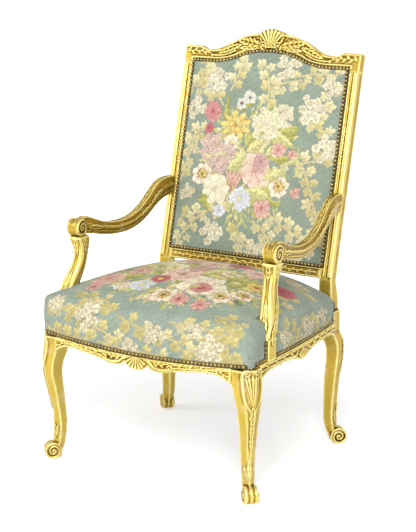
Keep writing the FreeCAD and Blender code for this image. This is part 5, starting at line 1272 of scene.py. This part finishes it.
# The outside cloth: its half width, foot, sides' top, arch, and place behind the back's front
OUTSIDE_GRID = (89, 95)
OUTSIDE_HALF = 264.0
OUTSIDE_LOW = 7.0
OUTSIDE_HIGH = 583.0
OUTSIDE_ARCH = 30.0
OUTSIDE_ARCH_HALF = 150.0
OUTSIDE_BEHIND = 28.8
OUTSIDE_SAG = 1.6


def outside_cloth(material):
    """The plain cloth stretched over the outside of the back."""
    columns, rows = OUTSIDE_GRID
    s, share = np.meshgrid(np.linspace(-OUTSIDE_HALF, OUTSIDE_HALF, columns), np.linspace(0.0, 1.0, rows))
    edge = OUTSIDE_HIGH + OUTSIDE_ARCH * np.clip(1 - (s / OUTSIDE_ARCH_HALF) ** 2, 0.0, 1.0)
    t = OUTSIDE_LOW + (edge - OUTSIDE_LOW) * share
    inset = np.minimum(OUTSIDE_HALF - np.abs(s), np.minimum(t - OUTSIDE_LOW, edge - t))
    sag = OUTSIDE_BEHIND - OUTSIDE_SAG * ramp(15, 120, inset)
    mesh, _ = grid_mesh("outside_back_linen", s, *on_slope(t, -sag))
    mesh.flip_normals()
    weave_layer(mesh, s, t)
    piece = link("outside_back_linen", mesh)
    dress(piece, "back_cloth", material, "outside_back_cloth")


def base_cloth(material):
    """The black cloth stretched under the seat."""
    piece = link("bottom_black_cloth", NODES["bottom_cloth"].data.copy())
    places = read_points(piece.data)[0]
    weave_layer(piece.data, places[:, 0], places[:, 1])
    dress(piece, "black_cloth", material, "bottom_cloth")


gilt = gilt_material()
tapestry = cloth_material("tapestry_wool", "paint", 1.3, 0.35)
linen = cloth_material("outside_linen", (0.56, 0.48, 0.34), 1.1, 0.3)
black = cloth_material("black_cotton", (0.02, 0.02, 0.022), 0.9, 0.3)
brass = brass_material()

# The number after the material darkens a piece's gilt as painted shade, or lightens it as painted light where
# it is below zero
for side in ("right", "left"):
    carve("front_leg_" + side, front_leg_relief, gilt)
    carve("back_post_" + side, back_post_relief, gilt, shade_shift=0.08)
    carve("side_seat_rail_" + side, side_rail_relief, gilt, shade_shift=-0.06)
    carve("arm_" + side, arm_relief, gilt, shade_shift=0.2)
    carve("arm_support_" + side, support_relief, gilt)
carve("front_seat_rail", front_rail_relief, gilt, shade_shift=-0.06)
carve("crest_rail", crest_relief, gilt, shade_shift=0.08)
carve("back_lower_rail", lower_rail_relief, gilt, shade_shift=0.15)
carve("back_seat_rail", plain_relief, gilt, voxel=3.0)
back_cover(tapestry)
seat_cover(tapestry)
for group in ("seat_nails_front", "seat_nails_right", "seat_nails_left", "back_nails"):
    nails(group, brass)
outside_cloth(linen)
base_cloth(black)

# Inner pieces, shown as their solids are
BEECH = inner_material("bare_beech", (0.40, 0.26, 0.14), (0.60, 0.44, 0.27), (12, 160, 160), 0.7)
JUTE = inner_material("jute", (0.32, 0.23, 0.12), (0.60, 0.48, 0.29), (500, 500, 500), 0.95)
WIRE = inner_material("spring_wire", (0.10, 0.09, 0.08), (0.34, 0.33, 0.31), (90, 90, 90), 0.45, 0.9)
INNER = {
    "corner_block_": (BEECH, ("front_right", "front_left", "back_right", "back_left")),
    "seat_webbing_": (JUTE, ("lengthwise", "crosswise")),
    "back_webbing_": (JUTE, ("upright", "level")),
    "seat_spring_": (WIRE, "12345"),
}
for group, (material, members) in INNER.items():
    for member in members:
        for slot in NODES[group + member].material_slots:
            slot.material = material


# Stage, light and camera


FLOOR_REACH = 30.0
FLOOR_COLOUR = (0.92, 0.92, 0.92, 1.0)
PURE_WHITE = (1.0, 1.0, 1.0, 1.0)
# The floor's own light, from its least near the chair to its most farther off
FLOOR_FADE = {"From Min": 0.5, "From Max": 2.6, "To Min": 0.4, "To Max": 1.0}
# The surround's strength for light that falls on the chair, and for the camera
SURROUND = {"To Min": 0.52, "To Max": 1.0}
# Lamps: name, place, size and power
LAMPS = (("key", (1.7, -3.2, 2.5), 1.5, 118.0), ("fill", (-3.0, -2.2, 2.2), 1.6, 34.0))
LAMP_AIM = Vector((0, 0, 0.55))
# The photograph's camera
AZIMUTH = math.radians(32.5157)
ELEVATION = math.radians(13.2373)
VIEW_TARGET = Vector((0.0, -0.05, 0.5))
VIEW_DISTANCE = 4.023
VIEW_LENS = 104.075
VIEW_SHIFT = (0.01436, 0.00648)


def plainly_seen(tree):
    """One for what the camera sees itself or in a gloss, nothing for light that falls on the chair."""
    path = tree.nodes.new("ShaderNodeLightPath").outputs
    seen = path["Is Camera Ray"]
    for ray in ("Is Glossy Ray", "Is Transmission Ray"):
        seen = add_node(tree, "Math", 0, {0: seen, 1: path[ray]}, operation="MAXIMUM")
    return seen


def set_floor():
    """A pale floor that keeps the chair's shadow and turns white farther off."""
    mesh = bpy.data.meshes.new("floor")
    corners = [(FLOOR_REACH * x, FLOOR_REACH * y, 0) for x, y in ((-1, -1), (1, -1), (1, 1), (-1, 1))]
    mesh.from_pydata(corners, [], [(0, 1, 2, 3)])
    floor = link("floor", mesh)
    material, tree, surface = new_material("floor_white")
    place = add_node(tree, "NewGeometry", "Position", {})
    away = add_node(tree, "VectorMath", "Value", {0: place}, operation="LENGTH")
    fade = add_node(tree, "MapRange", "Result", {"Value": away, **FLOOR_FADE})
    lift = add_node(tree, "Math", 0, {0: plainly_seen(tree), 1: fade}, operation="MULTIPLY")
    set_inputs(tree, surface, {
        "Base Color": FLOOR_COLOUR, "Roughness": 0.9, "Specular IOR Level": 0.0,
        "Emission Color": PURE_WHITE, "Emission Strength": lift,
    })
    mesh.materials.append(material)


def set_light():
    """A white surround and two soft lamps, the stronger from the front right."""
    SCENE.world = bpy.data.worlds.new("studio")
    SCENE.world.use_nodes = True
    tree = SCENE.world.node_tree
    strength = add_node(tree, "MapRange", "Result", {"Value": plainly_seen(tree), **SURROUND})
    set_inputs(tree, tree.nodes["Background"], {"Color": PURE_WHITE, "Strength": strength})
    for name, place, size, power in LAMPS:
        light = bpy.data.lights.new(name, "AREA")
        light.size = size
        light.energy = power
        lamp = link(name, light)
        lamp.location = place
        lamp.rotation_euler = (LAMP_AIM - Vector(place)).to_track_quat("-Z", "Y").to_euler()
    SCENE.view_settings.view_transform = "Standard"


def set_camera():
    """The photograph's view: from the front right, a little above the seat."""
    level = math.cos(ELEVATION)
    away = Vector((math.sin(AZIMUTH) * level, -math.cos(AZIMUTH) * level, math.sin(ELEVATION)))
    data = bpy.data.cameras.new("view")
    data.lens = VIEW_LENS
    data.shift_x, data.shift_y = VIEW_SHIFT
    camera = link("view", data)
    camera.location = VIEW_TARGET + away * VIEW_DISTANCE
    camera.rotation_euler = (-away).to_track_quat("-Z", "Y").to_euler()
    SCENE.camera = camera


set_floor()
set_light()
set_camera()
